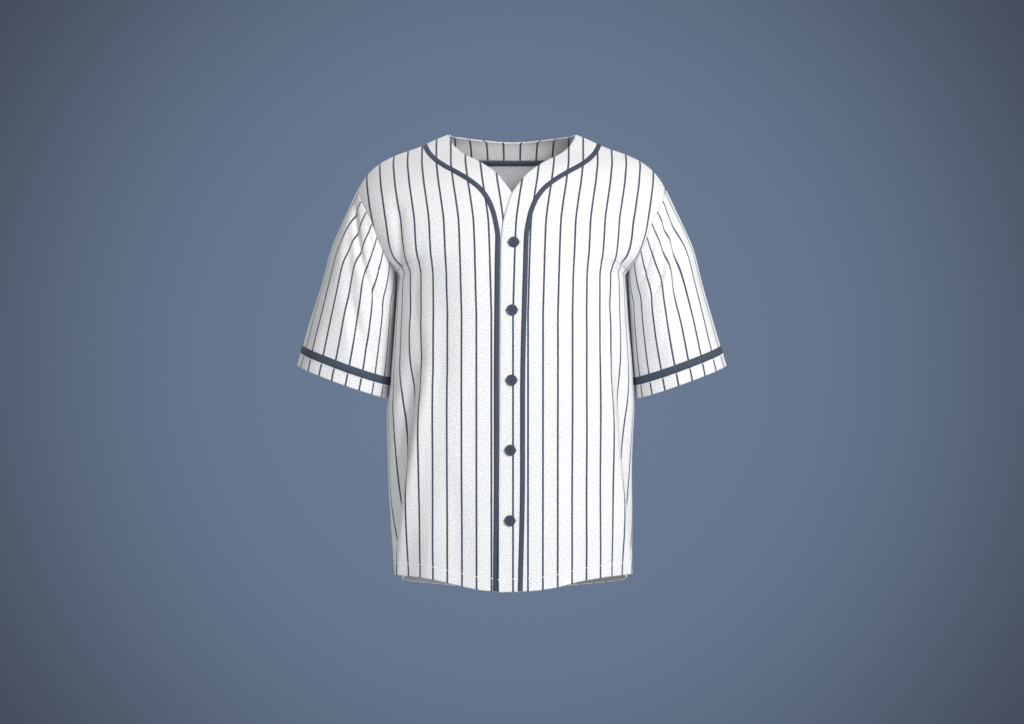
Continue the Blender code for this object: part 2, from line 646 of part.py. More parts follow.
def make_back_piping(name, back, material, collection):
    """Piping round the back of the neck, an oval in plan from one shoulder seam to the other."""
    angles = np.linspace(-math.pi / 2, math.pi / 2, BACK_PIPING_CELLS + 1)
    start_y = SECTIONS[-1].side_y + SEAM_GAP
    plan_x = BACK_PIPING_HALF_X * np.sin(angles)
    plan_y = start_y + BACK_PIPING_REACH_Y * np.cos(angles)
    centre = [(x, y, back_height(x, y)) for x, y in zip(plan_x, plan_y)]
    on_panel, normals = nearest_on(back, centre)
    across = unit(np.cross(unit(np.gradient(on_panel, axis=0)), normals)) * PIPING_WIDTH / 2
    rows = []
    for way in (1, 0, -1):
        place, facing = nearest_on(back, on_panel + way * across)
        rows.append(place + facing * (BACK_PIPING_LIFT + TAPE_THICK))
    thicken(grid_object(name, np.stack(rows), material, collection), TAPE_THICK)


def neck_columns():
    """Columns of the back that the facing and its tape cover, to just past the neck points."""
    return slice(BACK_HALF_COLUMNS - FACING_HALF_COLUMNS, BACK_HALF_COLUMNS + FACING_HALF_COLUMNS + 1)


def make_facing(name, back, material, collection):
    """The band inside the back of the neck."""
    strip = lifted(back, 1, -(WALL + LAY_GAP))[-4:, neck_columns()]
    strip[0] += (strip[1] - strip[0]) * FACING_CLEAR_SHARE
    thicken(grid_object(name, strip, material, collection), TAPE_THICK)


def make_neck_tape(name, back, material, collection):
    strip = lifted(back, 1, -(WALL + LAY_GAP))[-5:-3, neck_columns()]
    thicken(grid_object(name, strip, material, collection), TAPE_THICK)


def make_sleeve_band(name, side, sleeve, material, collection):
    normal = outward(sleeve, side)
    normal[:, 0] = normal[:, -1] = unit(normal[:, 0] + normal[:, -1])
    strip = (sleeve + normal * (LAY_GAP + TAPE_THICK))[-3:-1]
    flip = side == WEARER_RIGHT
    thicken(grid_object(name, strip, material, collection, flip=flip, closed=True), TAPE_THICK)


def button_mesh(material):
    """A turned disc with a raised rim, its back at z 0 and its face up."""
    dish = BUTTON_THICK - BUTTON_RIM_HEIGHT
    profile = (
        (0.0, dish),
        (BUTTON_RADIUS - BUTTON_RIM_WIDTH, dish),
        (BUTTON_RADIUS - BUTTON_RIM_WIDTH * 0.6, BUTTON_THICK),
        (BUTTON_RADIUS - BUTTON_RIM_WIDTH * 0.25, BUTTON_THICK),
        (BUTTON_RADIUS, BUTTON_THICK * 0.6),
        (BUTTON_RADIUS * 0.9, 0.0),
        (0.0, 0.0),
    )
    mesh = bpy.data.meshes.new("button")
    edges = [(i, i + 1) for i in range(len(profile) - 1)]
    mesh.from_pydata([(x, 0.0, z) for x, z in profile], edges, [])
    mesh.materials.append(material)
    return mesh


def make_buttons(material, collection, cutters):
    profile = button_mesh(material)
    hole = bpy.data.meshes.new("thread_hole")
    bm = bmesh.new()
    for way in (-1, 1):
        bmesh.ops.create_cone(
            bm,
            cap_ends=True,
            segments=8,
            radius1=BUTTON_HOLE_RADIUS,
            radius2=BUTTON_HOLE_RADIUS,
            depth=4 * BUTTON_THICK,
            matrix=Matrix.Translation((0, way * BUTTON_HOLE_APART / 2, 0)),
        )
    bm.to_mesh(hole)
    bm.free()
    for place in BUTTONS:
        y, above, below = (
            float(surface_y(place.x, place.z + step, FRONT)) for step in (0, BUTTON_RADIUS, -BUTTON_RADIUS)
        )
        lean = math.atan2(above - below, 2 * BUTTON_RADIUS)
        seat = Matrix.Translation((place.x, y - LAY_GAP, place.z))
        seat = seat @ Matrix.Rotation(math.pi / 2 - lean, 4, "X")
        button = bpy.data.objects.new(place.name, profile)
        button.matrix_world = seat
        collection.objects.link(button)
        turn = button.modifiers.new("turned", "SCREW")
        turn.axis = "Z"
        turn.steps = turn.render_steps = BUTTON_SIDES
        turn.use_merge_vertices = True
        turn.merge_threshold = 0.00005
        turn.use_normal_flip = False
        cutter = bpy.data.objects.new(place.name + "_holes", hole)
        cutter.matrix_world = seat
        cutter.hide_render = True
        cutter.display_type = "WIRE"
        cutters.objects.link(cutter)
        cut = button.modifiers.new("holes", "BOOLEAN")
        cut.operation = "DIFFERENCE"
        cut.object = cutter


def main():
    clear_scene()
    garment = new_collection(COLLECTION_NAME)
    cutters = new_collection(TOOLS_NAME, shown=False)
    cloth = pinstripe_cloth()
    tape = navy_tape()
    left = make_front("front_left", WEARER_LEFT, cloth, garment)
    right = make_front("front_right", WEARER_RIGHT, cloth, garment)
    back = make_back("back", cloth, garment)
    sleeve_left = make_sleeve("sleeve_left", WEARER_LEFT, cloth, garment)
    sleeve_right = make_sleeve("sleeve_right", WEARER_RIGHT, cloth, garment)
    make_front_piping("piping_left", WEARER_LEFT, left, tape, garment)
    make_front_piping("piping_right", WEARER_RIGHT, right, tape, garment)
    make_back_piping("piping_back", back, tape, garment)
    make_facing("back_neck_facing", back, cloth, garment)
    make_neck_tape("back_neck_tape", back, tape, garment)
    make_sleeve_band("sleeve_band_left", WEARER_LEFT, sleeve_left, tape, garment)
    make_sleeve_band("sleeve_band_right", WEARER_RIGHT, sleeve_right, tape, garment)
    make_buttons(navy_resin(), garment, cutters)


main()
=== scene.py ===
"""Looks of a short-sleeved pinstriped baseball jersey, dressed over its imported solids.

Metres, +Z up, the front towards -Y and +X towards the wearer's left. Every cloth piece is a thin shell on the
same body form as its solid, with a finer grid, smaller creases, turned edges and the cloth's own coordinates:
the distance across its stripes and the distance along them. The finishes draw stripes and knit from these.
"""

import logging
import math
from dataclasses import dataclass, field
from enum import Enum

import bmesh
import bpy
import numpy as np
from mathutils import Matrix, Vector
from mathutils.bvhtree import BVHTree


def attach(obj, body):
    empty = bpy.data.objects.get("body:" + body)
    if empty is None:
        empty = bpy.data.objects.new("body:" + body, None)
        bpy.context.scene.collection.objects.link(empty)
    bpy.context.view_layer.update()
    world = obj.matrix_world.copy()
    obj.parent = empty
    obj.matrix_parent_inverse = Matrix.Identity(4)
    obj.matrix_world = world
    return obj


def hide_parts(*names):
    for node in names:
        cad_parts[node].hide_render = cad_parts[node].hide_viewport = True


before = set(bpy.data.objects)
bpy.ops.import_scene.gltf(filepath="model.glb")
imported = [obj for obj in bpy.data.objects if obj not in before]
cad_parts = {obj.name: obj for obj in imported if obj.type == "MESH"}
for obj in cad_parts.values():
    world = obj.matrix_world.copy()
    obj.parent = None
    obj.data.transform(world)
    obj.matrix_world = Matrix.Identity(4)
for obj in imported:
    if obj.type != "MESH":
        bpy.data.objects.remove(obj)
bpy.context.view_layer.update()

LOG = logging.getLogger("jersey")
MM = 0.001


class Side(Enum):
    """A side of the wearer; the value is the sign of X."""

    LEFT = 1
    RIGHT = -1


class Face(Enum):
    """The front or the back of the body; the value is the sign of Y."""

    FRONT = -1
    BACK = 1


class Slot(Enum):
    """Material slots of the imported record."""

    CLOTH = "pinstripe_cloth"
    TAPE = "navy_tape"
    RESIN = "navy_resin"


# Cloth and seams
WALL = 0.0011
LAY_GAP = 0.0003
SEAM_GAP = 0.0012
ARMHOLE_GAP = 0.0015
UNDERLAP_DROP = 0.0029
UNDERLAP_FULL_X, UNDERLAP_NONE_X = -0.026, -0.070
UNDERLAP_FULL_Z, UNDERLAP_NONE_Z = -0.100, -0.060

# Heights of the garment's own marks
NECK_POINT_Z = 0.002
BACK_NECK_Z = -0.003
SHOULDER_TIP_Z = -0.090
UNDERARM_Z = -0.233
SIDE_HEM_Z = -0.725
FRONT_HEM_Z = -0.747
BACK_HEM_Z = -0.768
UNDERARM_SHARE = 0.70
NECK_SHARE = 0.42
HEM_DEPTH = 0.020
CUFF_DIP = 0.003

# How many points the boundary curves of a panel are worked out at
FINE = 240


@dataclass(frozen=True)
class Section:
    """A level section of the body form: a rounded square."""

    z: float
    half_width: float
    front_depth: float
    back_depth: float
    side_y: float
    front_square: float
    back_square: float
    shift: float


SECTIONS = (
    Section(-0.780, 0.1980, 0.119, 0.119, 0.000, 2.5, 2.5, 0.0015),
    Section(-0.720, 0.1985, 0.121, 0.118, 0.000, 2.5, 2.5, 0.0015),
    Section(-0.650, 0.2005, 0.126, 0.117, 0.000, 2.6, 2.5, -0.0005),
    Section(-0.560, 0.2025, 0.130, 0.116, 0.000, 2.6, 2.5, -0.0030),
    Section(-0.460, 0.2050, 0.134, 0.117, 0.000, 2.6, 2.5, -0.0025),
    Section(-0.425, 0.2015, 0.135, 0.118, 0.000, 2.6, 2.5, -0.0010),
    Section(-0.340, 0.1965, 0.137, 0.122, 0.000, 2.6, 2.5, 0.0),
    Section(-0.275, 0.1915, 0.136, 0.126, 0.000, 2.5, 2.5, 0.0),
    Section(-0.236, 0.1880, 0.134, 0.127, 0.000, 2.5, 2.5, 0.0),
    Section(-0.225, 0.1970, 0.133, 0.127, 0.001, 2.5, 2.5, 0.0),
    Section(-0.207, 0.2170, 0.131, 0.127, 0.002, 2.5, 2.5, 0.0),
    Section(-0.181, 0.2370, 0.127, 0.125, 0.005, 2.5, 2.5, 0.0),
    Section(-0.147, 0.2550, 0.121, 0.121, 0.008, 2.4, 2.4, 0.0),
    Section(-0.112, 0.2630, 0.114, 0.116, 0.010, 2.3, 2.3, 0.0),
    Section(-0.090, 0.2561, 0.107, 0.112, 0.010, 2.2, 2.2, 0.0),
    Section(-0.078, 0.2500, 0.100, 0.108, 0.010, 2.1, 2.2, 0.0),
    Section(-0.060, 0.2362, 0.088, 0.102, 0.011, 2.0, 2.1, 0.0),
    Section(-0.046, 0.2194, 0.073, 0.096, 0.012, 2.0, 2.0, 0.0),
    Section(-0.033, 0.1943, 0.053, 0.088, 0.012, 2.0, 2.0, 0.0),
    Section(-0.020, 0.1580, 0.040, 0.079, 0.012, 2.0, 1.9, 0.0),
    Section(-0.006, 0.1273, 0.024, 0.068, 0.012, 2.0, 1.9, 0.0),
    Section(NECK_POINT_Z, 0.1080, 0.012, 0.058, 0.012, 2.0, 1.9, 0.0),
)


@dataclass(frozen=True)
class EdgePoint:
    """The button edge or neckline of each front at a height, x towards the front's own side."""

    z: float
    left_x: float
    right_x: float


FRONT_EDGE = (
    EdgePoint(-0.750, -0.0240, -0.0132),
    EdgePoint(-0.600, -0.0209, -0.0142),
    EdgePoint(-0.440, -0.0193, -0.0150),
    EdgePoint(-0.207, -0.0177, -0.0163),
    EdgePoint(-0.181, -0.0169, -0.0160),
    EdgePoint(-0.152, -0.0137, -0.0137),
    EdgePoint(-0.125, -0.0065, -0.0065),
    EdgePoint(-0.106, 0.0000, 0.0000),
    EdgePoint(-0.087, 0.0130, 0.0130),
    EdgePoint(-0.073, 0.0238, 0.0238),
    EdgePoint(-0.051, 0.0520, 0.0520),
    EdgePoint(-0.036, 0.0780, 0.0780),
    EdgePoint(-0.020, 0.0960, 0.0960),
    EdgePoint(NECK_POINT_Z, 0.1080, 0.1080),
)


@dataclass(frozen=True)
class ArmholePoint:
    """The armhole seam on the front and on the back at a height."""

    z: float
    front_x: float
    back_x: float


ARMHOLE = (
    ArmholePoint(UNDERARM_Z, 0.1895, 0.1895),
    ArmholePoint(-0.225, 0.1930, 0.1935),
    ArmholePoint(-0.207, 0.2035, 0.2060),
    ArmholePoint(-0.181, 0.2165, 0.2200),
    ArmholePoint(-0.147, 0.2300, 0.2340),
    ArmholePoint(-0.112, 0.2480, 0.2500),
    ArmholePoint(SHOULDER_TIP_Z, 0.2561, 0.2561),
)


@dataclass(frozen=True)
class HemPoint:
    """Drop of the curved hems at a share of the way to the side, as shares of the whole drop."""

    share: float
    front: float
    back: float


HEM_CURVE = (
    HemPoint(0.00, 1.00, 1.00),
    HemPoint(0.25, 0.90, 0.97),
    HemPoint(0.39, 0.73, 0.92),
    HemPoint(0.51, 0.48, 0.86),
    HemPoint(0.63, 0.23, 0.79),
    HemPoint(0.79, 0.03, 0.68),
    HemPoint(0.87, 0.01, 0.60),
    HemPoint(0.95, 0.00, 0.43),
    HemPoint(1.00, 0.00, 0.00),
)


@dataclass(frozen=True)
class PipingPoint:
    """Middle line of a front's piping in the front view, x towards the front's own side."""

    z: float
    left_x: float
    right_x: float


PIPING_LINE = (
    PipingPoint(-0.7470, 0.0132, 0.0268),
    PipingPoint(-0.5500, 0.0169, 0.0251),
    PipingPoint(-0.4390, 0.0169, 0.0251),
    PipingPoint(-0.2090, 0.0219, 0.0235),
    PipingPoint(-0.1780, 0.0229, 0.0229),
    PipingPoint(-0.1440, 0.0283, 0.0283),
    PipingPoint(-0.1190, 0.0370, 0.0370),
    PipingPoint(-0.1000, 0.0497, 0.0497),
    PipingPoint(-0.0833, 0.0689, 0.0689),
    PipingPoint(-0.0690, 0.0909, 0.0909),
    PipingPoint(-0.0571, 0.1105, 0.1105),
    PipingPoint(-0.0445, 0.1266, 0.1266),
    PipingPoint(-0.0300, 0.1385, 0.1385),
    PipingPoint(-0.0145, 0.1460, 0.1460),
)


@dataclass(frozen=True)
class StripeLean:
    """How far the front's stripes lean outwards above the chest."""

    z: float
    shift: float


STRIPE_LEAN = (
    StripeLean(-0.300, 0.0),
    StripeLean(-0.155, -0.0049),
    StripeLean(-0.116, -0.0096),
    StripeLean(-0.083, -0.0148),
    StripeLean(-0.066, -0.0170),
    StripeLean(-0.050, -0.0190),
    StripeLean(-0.030, -0.0200),
    StripeLean(NECK_POINT_Z, -0.0215),
)

# Where the first stripe of each front lies, from the garment's centre line
FIRST_STRIPE = {Side.LEFT: 0.0016, Side.RIGHT: 0.0090}
SLEEVE_STRIPE_SHIFT = 0.0075


@dataclass(frozen=True)
class BodyFold:
    """A fold of a body panel: the distance of its line from the centre at its top and its bottom."""

    side: Side
    top_u: float
    top_z: float
    low_u: float
    low_z: float
    bow: float
    depth: float
    half_width: float


FRONT_FOLDS = (
    BodyFold(Side.RIGHT, 0.128, -0.330, 0.215, -0.760, -0.006, 0.0080, 0.017),
    BodyFold(Side.RIGHT, 0.158, -0.310, 0.250, -0.760, -0.006, -0.0150, 0.019),
    BodyFold(Side.RIGHT, 0.098, -0.520, 0.082, -0.780, 0.000, -0.0040, 0.022),
    BodyFold(Side.RIGHT, 0.196, -0.095, 0.206, -0.245, 0.004, -0.0050, 0.014),
    BodyFold(Side.RIGHT, 0.110, -0.250, 0.120, -0.420, 0.000, -0.0030, 0.018),
    BodyFold(Side.LEFT, 0.145, -0.330, 0.230, -0.760, -0.008, 0.0060, 0.017),
    BodyFold(Side.LEFT, 0.178, -0.320, 0.262, -0.760, -0.006, -0.0110, 0.018),
    BodyFold(Side.LEFT, 0.095, -0.430, 0.112, -0.780, 0.000, -0.0030, 0.022),
    BodyFold(Side.LEFT, 0.198, -0.095, 0.206, -0.245, 0.004, -0.0045, 0.014),
)
BACK_FOLDS = (
    BodyFold(Side.RIGHT, 0.120, -0.300, 0.205, -0.790, -0.006, 0.0070, 0.018),
    BodyFold(Side.RIGHT, 0.155, -0.290, 0.242, -0.790, -0.006, -0.0120, 0.020),
    BodyFold(Side.RIGHT, 0.050, -0.420, 0.072, -0.800, 0.000, -0.0050, 0.024),
    BodyFold(Side.RIGHT, 0.192, -0.100, 0.205, -0.240, 0.004, -0.0045, 0.015),
    BodyFold(Side.LEFT, 0.132, -0.310, 0.222, -0.790, -0.008, 0.0060, 0.018),
    BodyFold(Side.LEFT, 0.166, -0.300, 0.255, -0.790, -0.006, -0.0100, 0.019),
    BodyFold(Side.LEFT, 0.064, -0.480, 0.050, -0.800, 0.000, -0.0045, 0.024),
    BodyFold(Side.LEFT, 0.194, -0.100, 0.205, -0.240, 0.004, -0.0050, 0.015),
)

# Smaller creases, on the shells alone
FRONT_CREASES = (
    BodyFold(Side.RIGHT, 0.058, -0.300, 0.066, -0.560, 0.003, -0.0012, 0.010),
    BodyFold(Side.RIGHT, 0.150, -0.160, 0.172, -0.330, 0.004, -0.0016, 0.009),
    BodyFold(Side.RIGHT, 0.176, -0.245, 0.150, -0.400, -0.004, -0.0022, 0.011),
    BodyFold(Side.RIGHT, 0.132, -0.600, 0.140, -0.790, 0.002, 0.0014, 0.010),
    BodyFold(Side.LEFT, 0.064, -0.380, 0.058, -0.640, 0.003, -0.0011, 0.011),
    BodyFold(Side.LEFT, 0.152, -0.150, 0.170, -0.310, 0.004, -0.0014, 0.009),
    BodyFold(Side.LEFT, 0.180, -0.245, 0.160, -0.380, -0.003, -0.0020, 0.010),
    BodyFold(Side.LEFT, 0.140, -0.640, 0.150, -0.790, 0.002, 0.0012, 0.010),
)
BACK_CREASES = (
    BodyFold(Side.RIGHT, 0.030, -0.180, 0.022, -0.420, 0.004, -0.0014, 0.014),
    BodyFold(Side.RIGHT, 0.110, -0.140, 0.140, -0.330, 0.005, -0.0018, 0.012),
    BodyFold(Side.RIGHT, 0.172, -0.245, 0.150, -0.430, -0.004, -0.0022, 0.011),
    BodyFold(Side.RIGHT, 0.098, -0.560, 0.110, -0.810, 0.003, -0.0018, 0.012),
    BodyFold(Side.LEFT, 0.026, -0.520, 0.034, -0.810, 0.003, 0.0016, 0.013),
    BodyFold(Side.LEFT, 0.120, -0.150, 0.146, -0.360, 0.005, -0.0016, 0.012),
    BodyFold(Side.LEFT, 0.176, -0.245, 0.156, -0.410, -0.004, -0.0020, 0.010),
    BodyFold(Side.LEFT, 0.104, -0.600, 0.114, -0.810, 0.003, -0.0015, 0.012),
)


@dataclass(frozen=True)
class Ring:
    """An oval ring of a sleeve, x towards its own side; outer is the top line, inner the underarm's."""

    share: float
    outer_x: float
    outer_z: float
    inner_x: float
    inner_z: float
    front_depth: float
    back_depth: float
    middle_y: float


SLEEVE_RINGS = (
    Ring(0.00, 0.2570, -0.0905, 0.1925, -0.2335, 0.068, 0.072, 0.006),
    Ring(0.24, 0.2885, -0.1575, 0.1932, -0.2700, 0.077, 0.080, 0.004),
    Ring(0.35, 0.3015, -0.1900, 0.1940, -0.2900, 0.080, 0.082, 0.003),
    Ring(0.52, 0.3150, -0.2410, 0.1962, -0.3230, 0.079, 0.081, 0.002),
    Ring(0.74, 0.3350, -0.3080, 0.1999, -0.3720, 0.074, 0.076, 0.000),
    Ring(1.00, 0.3570, -0.3825, 0.2058, -0.4370, 0.068, 0.070, 0.000),
)


@dataclass(frozen=True)
class SleeveFold:
    """A fold of a sleeve: angle round it in degrees and share of its length at both ends of its line."""

    side: Side
    top_angle: float
    top_share: float
    low_angle: float
    low_share: float
    depth: float
    half_width: float


SLEEVE_FOLDS = (
    SleeveFold(Side.RIGHT, 38, 0.04, 122, 0.40, -0.0070, 0.013),
    SleeveFold(Side.RIGHT, 45, 0.16, 114, 0.78, -0.0075, 0.015),
    SleeveFold(Side.RIGHT, 30, 0.10, 90, 0.55, 0.0040, 0.014),
    SleeveFold(Side.RIGHT, 320, 0.06, 240, 0.45, -0.0065, 0.014),
    SleeveFold(Side.RIGHT, 312, 0.20, 250, 0.80, -0.0060, 0.016),
    SleeveFold(Side.LEFT, 50, 0.04, 108, 0.40, -0.0065, 0.013),
    SleeveFold(Side.LEFT, 40, 0.08, 98, 0.70, -0.0070, 0.014),
    SleeveFold(Side.LEFT, 58, 0.22, 72, 0.66, -0.0050, 0.013),
    SleeveFold(Side.LEFT, 318, 0.06, 244, 0.50, -0.0065, 0.014),
    SleeveFold(Side.LEFT, 305, 0.24, 262, 0.78, -0.0055, 0.016),
)
SLEEVE_CREASES = (
    SleeveFold(Side.RIGHT, 70, 0.02, 128, 0.20, -0.0022, 0.007),
    SleeveFold(Side.RIGHT, 80, 0.52, 100, 0.95, 0.0016, 0.009),
    SleeveFold(Side.RIGHT, 290, 0.02, 236, 0.24, -0.0020, 0.008),
    SleeveFold(Side.LEFT, 74, 0.02, 126, 0.22, -0.0020, 0.007),
    SleeveFold(Side.LEFT, 92, 0.55, 108, 0.95, 0.0014, 0.009),
    SleeveFold(Side.LEFT, 286, 0.03, 238, 0.26, -0.0022, 0.008),
)

# Between these places the facing's lower edge leaves its level line for a plain depth
FACING_LEVEL_X, FACING_PLAIN_X = 0.118, 0.180

# How folds fade: as shares of their own length, or as distances from a seam
FOLD_START_SHARE = 0.35
FOLD_END_SHARE = 0.20
SHORT_FOLD_Z = -0.470
SIDE_SEAM_FADE = 0.020
TOP_FADE = 0.030
SLEEVE_RADIUS = 0.075
SLEEVE_FOLD_PAST = 0.15
SLEEVE_FOLD_FADE = 0.40
ARMHOLE_FADE = 0.10
UNDERARM_PLAIN = 25


def smooth(knots: list[float], values: list[float], at: np.ndarray) -> np.ndarray:
    """A monotone cubic through the knots, level beyond both ends.

    Args:
        knots: rising places.
        values: the value at each knot.
        at: places to read.

    Returns:
        The values at those places.
    """
    knots, values = np.asarray(knots, float), np.asarray(values, float)
    at = np.clip(np.asarray(at, float), knots[0], knots[-1])
    steps = np.diff(knots)
    slopes = np.diff(values) / steps
    before, after = slopes[:-1], slopes[1:]
    agree = before * after > 0
    total = np.where(agree, before + after, 1.0)
    inner = np.where(agree, 2 * before * after / total, 0.0)
    tangents = np.concatenate([slopes[:1], inner, slopes[-1:]])
    i = np.clip(np.searchsorted(knots, at, side="right") - 1, 0, len(steps) - 1)
    h = steps[i]
    q = (at - knots[i]) / h
    return (
        values[i] * (1 + 2 * q) * (1 - q) ** 2
        + values[i + 1] * q**2 * (3 - 2 * q)
        + h * tangents[i] * q * (1 - q) ** 2
        - h * tangents[i + 1] * q**2 * (1 - q)
    )


def read(table: tuple, column: str, at: np.ndarray, key: str = "z") -> np.ndarray:
    """One column of a table at the given places of its key column.

    Args:
        table: rows of one dataclass, rising by the key.
        column: the field to read.
        at: places of the key field.
        key: the field that the rows rise by.

    Returns:
        The column's values there.
    """
    return smooth([getattr(row, key) for row in table], [getattr(row, column) for row in table], at)


def ease(value: np.ndarray) -> np.ndarray:
    """A soft step from 0 to 1."""
    value = np.clip(value, 0.0, 1.0)
    return value * value * (3 - 2 * value)


def unit(vectors: np.ndarray) -> np.ndarray:
    """Vectors of length one."""
    return vectors / np.linalg.norm(vectors, axis=-1, keepdims=True)


def along(points: np.ndarray) -> np.ndarray:
    """Distance of each point of a polyline from its start."""
    return np.concatenate([[0.0], np.cumsum(np.linalg.norm(np.diff(points, axis=0), axis=1))])


def at_lengths(points: np.ndarray, wanted: np.ndarray) -> np.ndarray:
    """Points of a polyline at given distances from its start."""
    run = along(points)
    return np.stack([np.interp(wanted, run, points[:, axis]) for axis in range(3)], axis=-1)


def outward(grid: np.ndarray, turn: int) -> np.ndarray:
    """Unit normals of a grid, turned by the sign so that they point out of the garment."""
    return unit(np.cross(np.gradient(grid, axis=1), np.gradient(grid, axis=0))) * turn


def unevenness(seed: int, run: np.ndarray, height: np.ndarray, size: float, depth: float) -> np.ndarray:
    """Soft seeded swells of limp cloth.

    Args:
        seed: which swells.
        run: distance across the cloth.
        height: distance along the cloth.
        size: distance from swell to swell.
        depth: the swells' height.

    Returns:
        A height for each point.
    """
    rng = np.random.default_rng(seed)
    total = np.zeros(np.broadcast(run, height).shape)
    waves = 9
    for _ in range(waves):
        turn, phase = rng.uniform(-0.9, 0.9), rng.uniform(0, 2 * math.pi)
        pitch = size * rng.uniform(0.7, 1.6)
        total += np.sin(2 * math.pi * (run * math.cos(turn) + height * math.sin(turn)) / pitch + phase)
    return depth * total / math.sqrt(waves)


class BodyForm:
    """The body's form and the panels drawn on it."""

    @staticmethod
    def surface_y(x: np.ndarray, z: np.ndarray, face: Face) -> np.ndarray:
        """Depth of the form at points of the front view.

        Args:
            x: places across.
            z: heights.
            face: the front or the back of the form.

        Returns:
            The Y of the form there.
        """
        name = "front" if face is Face.FRONT else "back"
        bulge = read(SECTIONS, name + "_depth", z)
        square = read(SECTIONS, name + "_square", z)
        reach = np.abs(x - read(SECTIONS, "shift", z)) / read(SECTIONS, "half_width", z)
        rise = (1 - np.clip(reach, 0, 1) ** square) ** (1 / square)
        return read(SECTIONS, "side_y", z) + face.value * (SEAM_GAP / 2 + bulge * rise)

    @staticmethod
    def side_boundary(share: np.ndarray, face: Face, side: Side) -> tuple[np.ndarray, np.ndarray]:
        """Side seam up to the underarm, then the armhole up to the shoulder tip, as x and z."""
        z = np.interp(share, [0, UNDERARM_SHARE, 1], [SIDE_HEM_Z, UNDERARM_Z, SHOULDER_TIP_Z])
        armhole = read(ARMHOLE, "front_x" if face is Face.FRONT else "back_x", z)
        seam = read(SECTIONS, "half_width", z) + side.value * read(SECTIONS, "shift", z)
        return np.where(z < UNDERARM_Z, seam, armhole), z

    @staticmethod
    def front_boundary(share: np.ndarray, side: Side) -> tuple[np.ndarray, np.ndarray]:
        """Button edge up to the bottom of the neckline, then the neckline, as x and z."""
        z = FRONT_HEM_Z + (NECK_POINT_Z - FRONT_HEM_Z) * share
        return read(FRONT_EDGE, "left_x" if side is Side.LEFT else "right_x", z), z

    @staticmethod
    def shoulder_line(share: np.ndarray) -> tuple[np.ndarray, np.ndarray]:
        """The shoulder seam from the neck point to the tip, as x and z."""
        upper = [row for row in SECTIONS if row.z >= SHOULDER_TIP_Z][::-1]
        x = upper[0].half_width + (upper[-1].half_width - upper[0].half_width) * share
        return x, smooth([row.half_width for row in upper], [row.z for row in upper], x)

    @staticmethod
    def filled(left: tuple, right: tuple, low: tuple, top: tuple, s: np.ndarray, t: np.ndarray) -> list:
        """Fills four boundary curves of the front view.

        Args:
            left, right, low, top: each a pair of arrays, x and z.
            s: shares up the panel, as a column.
            t: shares across it, as a row.

        Returns:
            The x and the z of every point.
        """
        made = []
        for axis in range(2):
            a, b = left[axis][:, None], right[axis][:, None]
            c, d = low[axis][None, :], top[axis][None, :]
            corners = (1 - s) * ((1 - t) * low[axis][0] + t * low[axis][-1]) + s * (
                (1 - t) * top[axis][0] + t * top[axis][-1]
            )
            made.append((1 - t) * a + t * b + (1 - s) * c + s * d - corners)
        return made

    def half(self, face: Face, side: Side) -> np.ndarray:
        """A fine grid on half of the body, rows from hem to shoulder, columns from centre to side."""
        rows = np.sin(np.linspace(0, math.pi / 2, FINE + 1))
        across = np.sin(np.linspace(0, math.pi / 2, FINE + 1))
        right = self.side_boundary(rows, face, side)
        if face is Face.FRONT:
            left, top, centre_z = self.front_boundary(rows, side), self.shoulder_line(across), FRONT_HEM_Z
        else:
            left = (np.zeros(FINE + 1), BACK_HEM_Z + (BACK_NECK_Z - BACK_HEM_Z) * rows)
            neck_x = self.shoulder_line(np.zeros(1))[0] * np.clip(across / NECK_SHARE, 0, 1)
            past = np.clip((across - NECK_SHARE) / (1 - NECK_SHARE), 0, 1)
            seam_x, seam_z = self.shoulder_line(past)
            lift = ease(across / NECK_SHARE) * (NECK_POINT_Z - BACK_NECK_Z)
            on_neck = across <= NECK_SHARE
            top = (np.where(on_neck, neck_x, seam_x), np.where(on_neck, BACK_NECK_Z + lift, seam_z))
            centre_z = BACK_HEM_Z
        low_x = left[0][0] + (right[0][0] - left[0][0]) * across
        drop = read(HEM_CURVE, "front" if face is Face.FRONT else "back", across, "share")
        low_z = SIDE_HEM_Z + (centre_z - SIDE_HEM_Z) * drop
        x, z = self.filled(left, right, (low_x, low_z), top, rows[:, None], across[None, :])
        return np.stack([side.value * x, self.surface_y(side.value * x, z, face), z], axis=-1)


# Rows that lie close together where a hem's stitches and a seam's roll need them
NEAR_HEM = [0.0, 0.0015, 0.005, 0.010, 0.015, 0.018, 0.0192, 0.020, 0.0208, 0.022, 0.025]
NEAR_SEAM = [0.030, 0.025, 0.020, 0.015, 0.010, 0.006, 0.003, 0.001, 0.0]


def regrid(fine: np.ndarray, near: list[float], columns: int, rows: int, near_top: list[float]) -> np.ndarray:
    """Resamples a fine grid to a panel's own rows and columns.

    Args:
        fine: the grid to read.
        near: distances of the first columns from the centre edge.
        columns: how many more columns reach the side.
        rows: how many rows lie between those near the hem and those near the top.
        near_top: distances of the topmost rows from the top, falling to 0.

    Returns:
        The new grid.
    """
    wide = []
    for row in fine:
        total = along(row)[-1]
        rest = near[-1] + (total - near[-1]) * np.linspace(0, 1, columns + 1)[1:]
        wide.append(at_lengths(row, np.concatenate([near, rest])))
    wide = np.stack(wide)
    tall = []
    for j in range(wide.shape[1]):
        total = along(wide[:, j])[-1]
        rest = np.linspace(NEAR_HEM[-1], total - near_top[0], rows + 1)[1:-1]
        wanted = np.concatenate([NEAR_HEM, rest, total - np.array(near_top)])
        tall.append(at_lengths(wide[:, j], wanted))
    return np.stack(tall, axis=1)


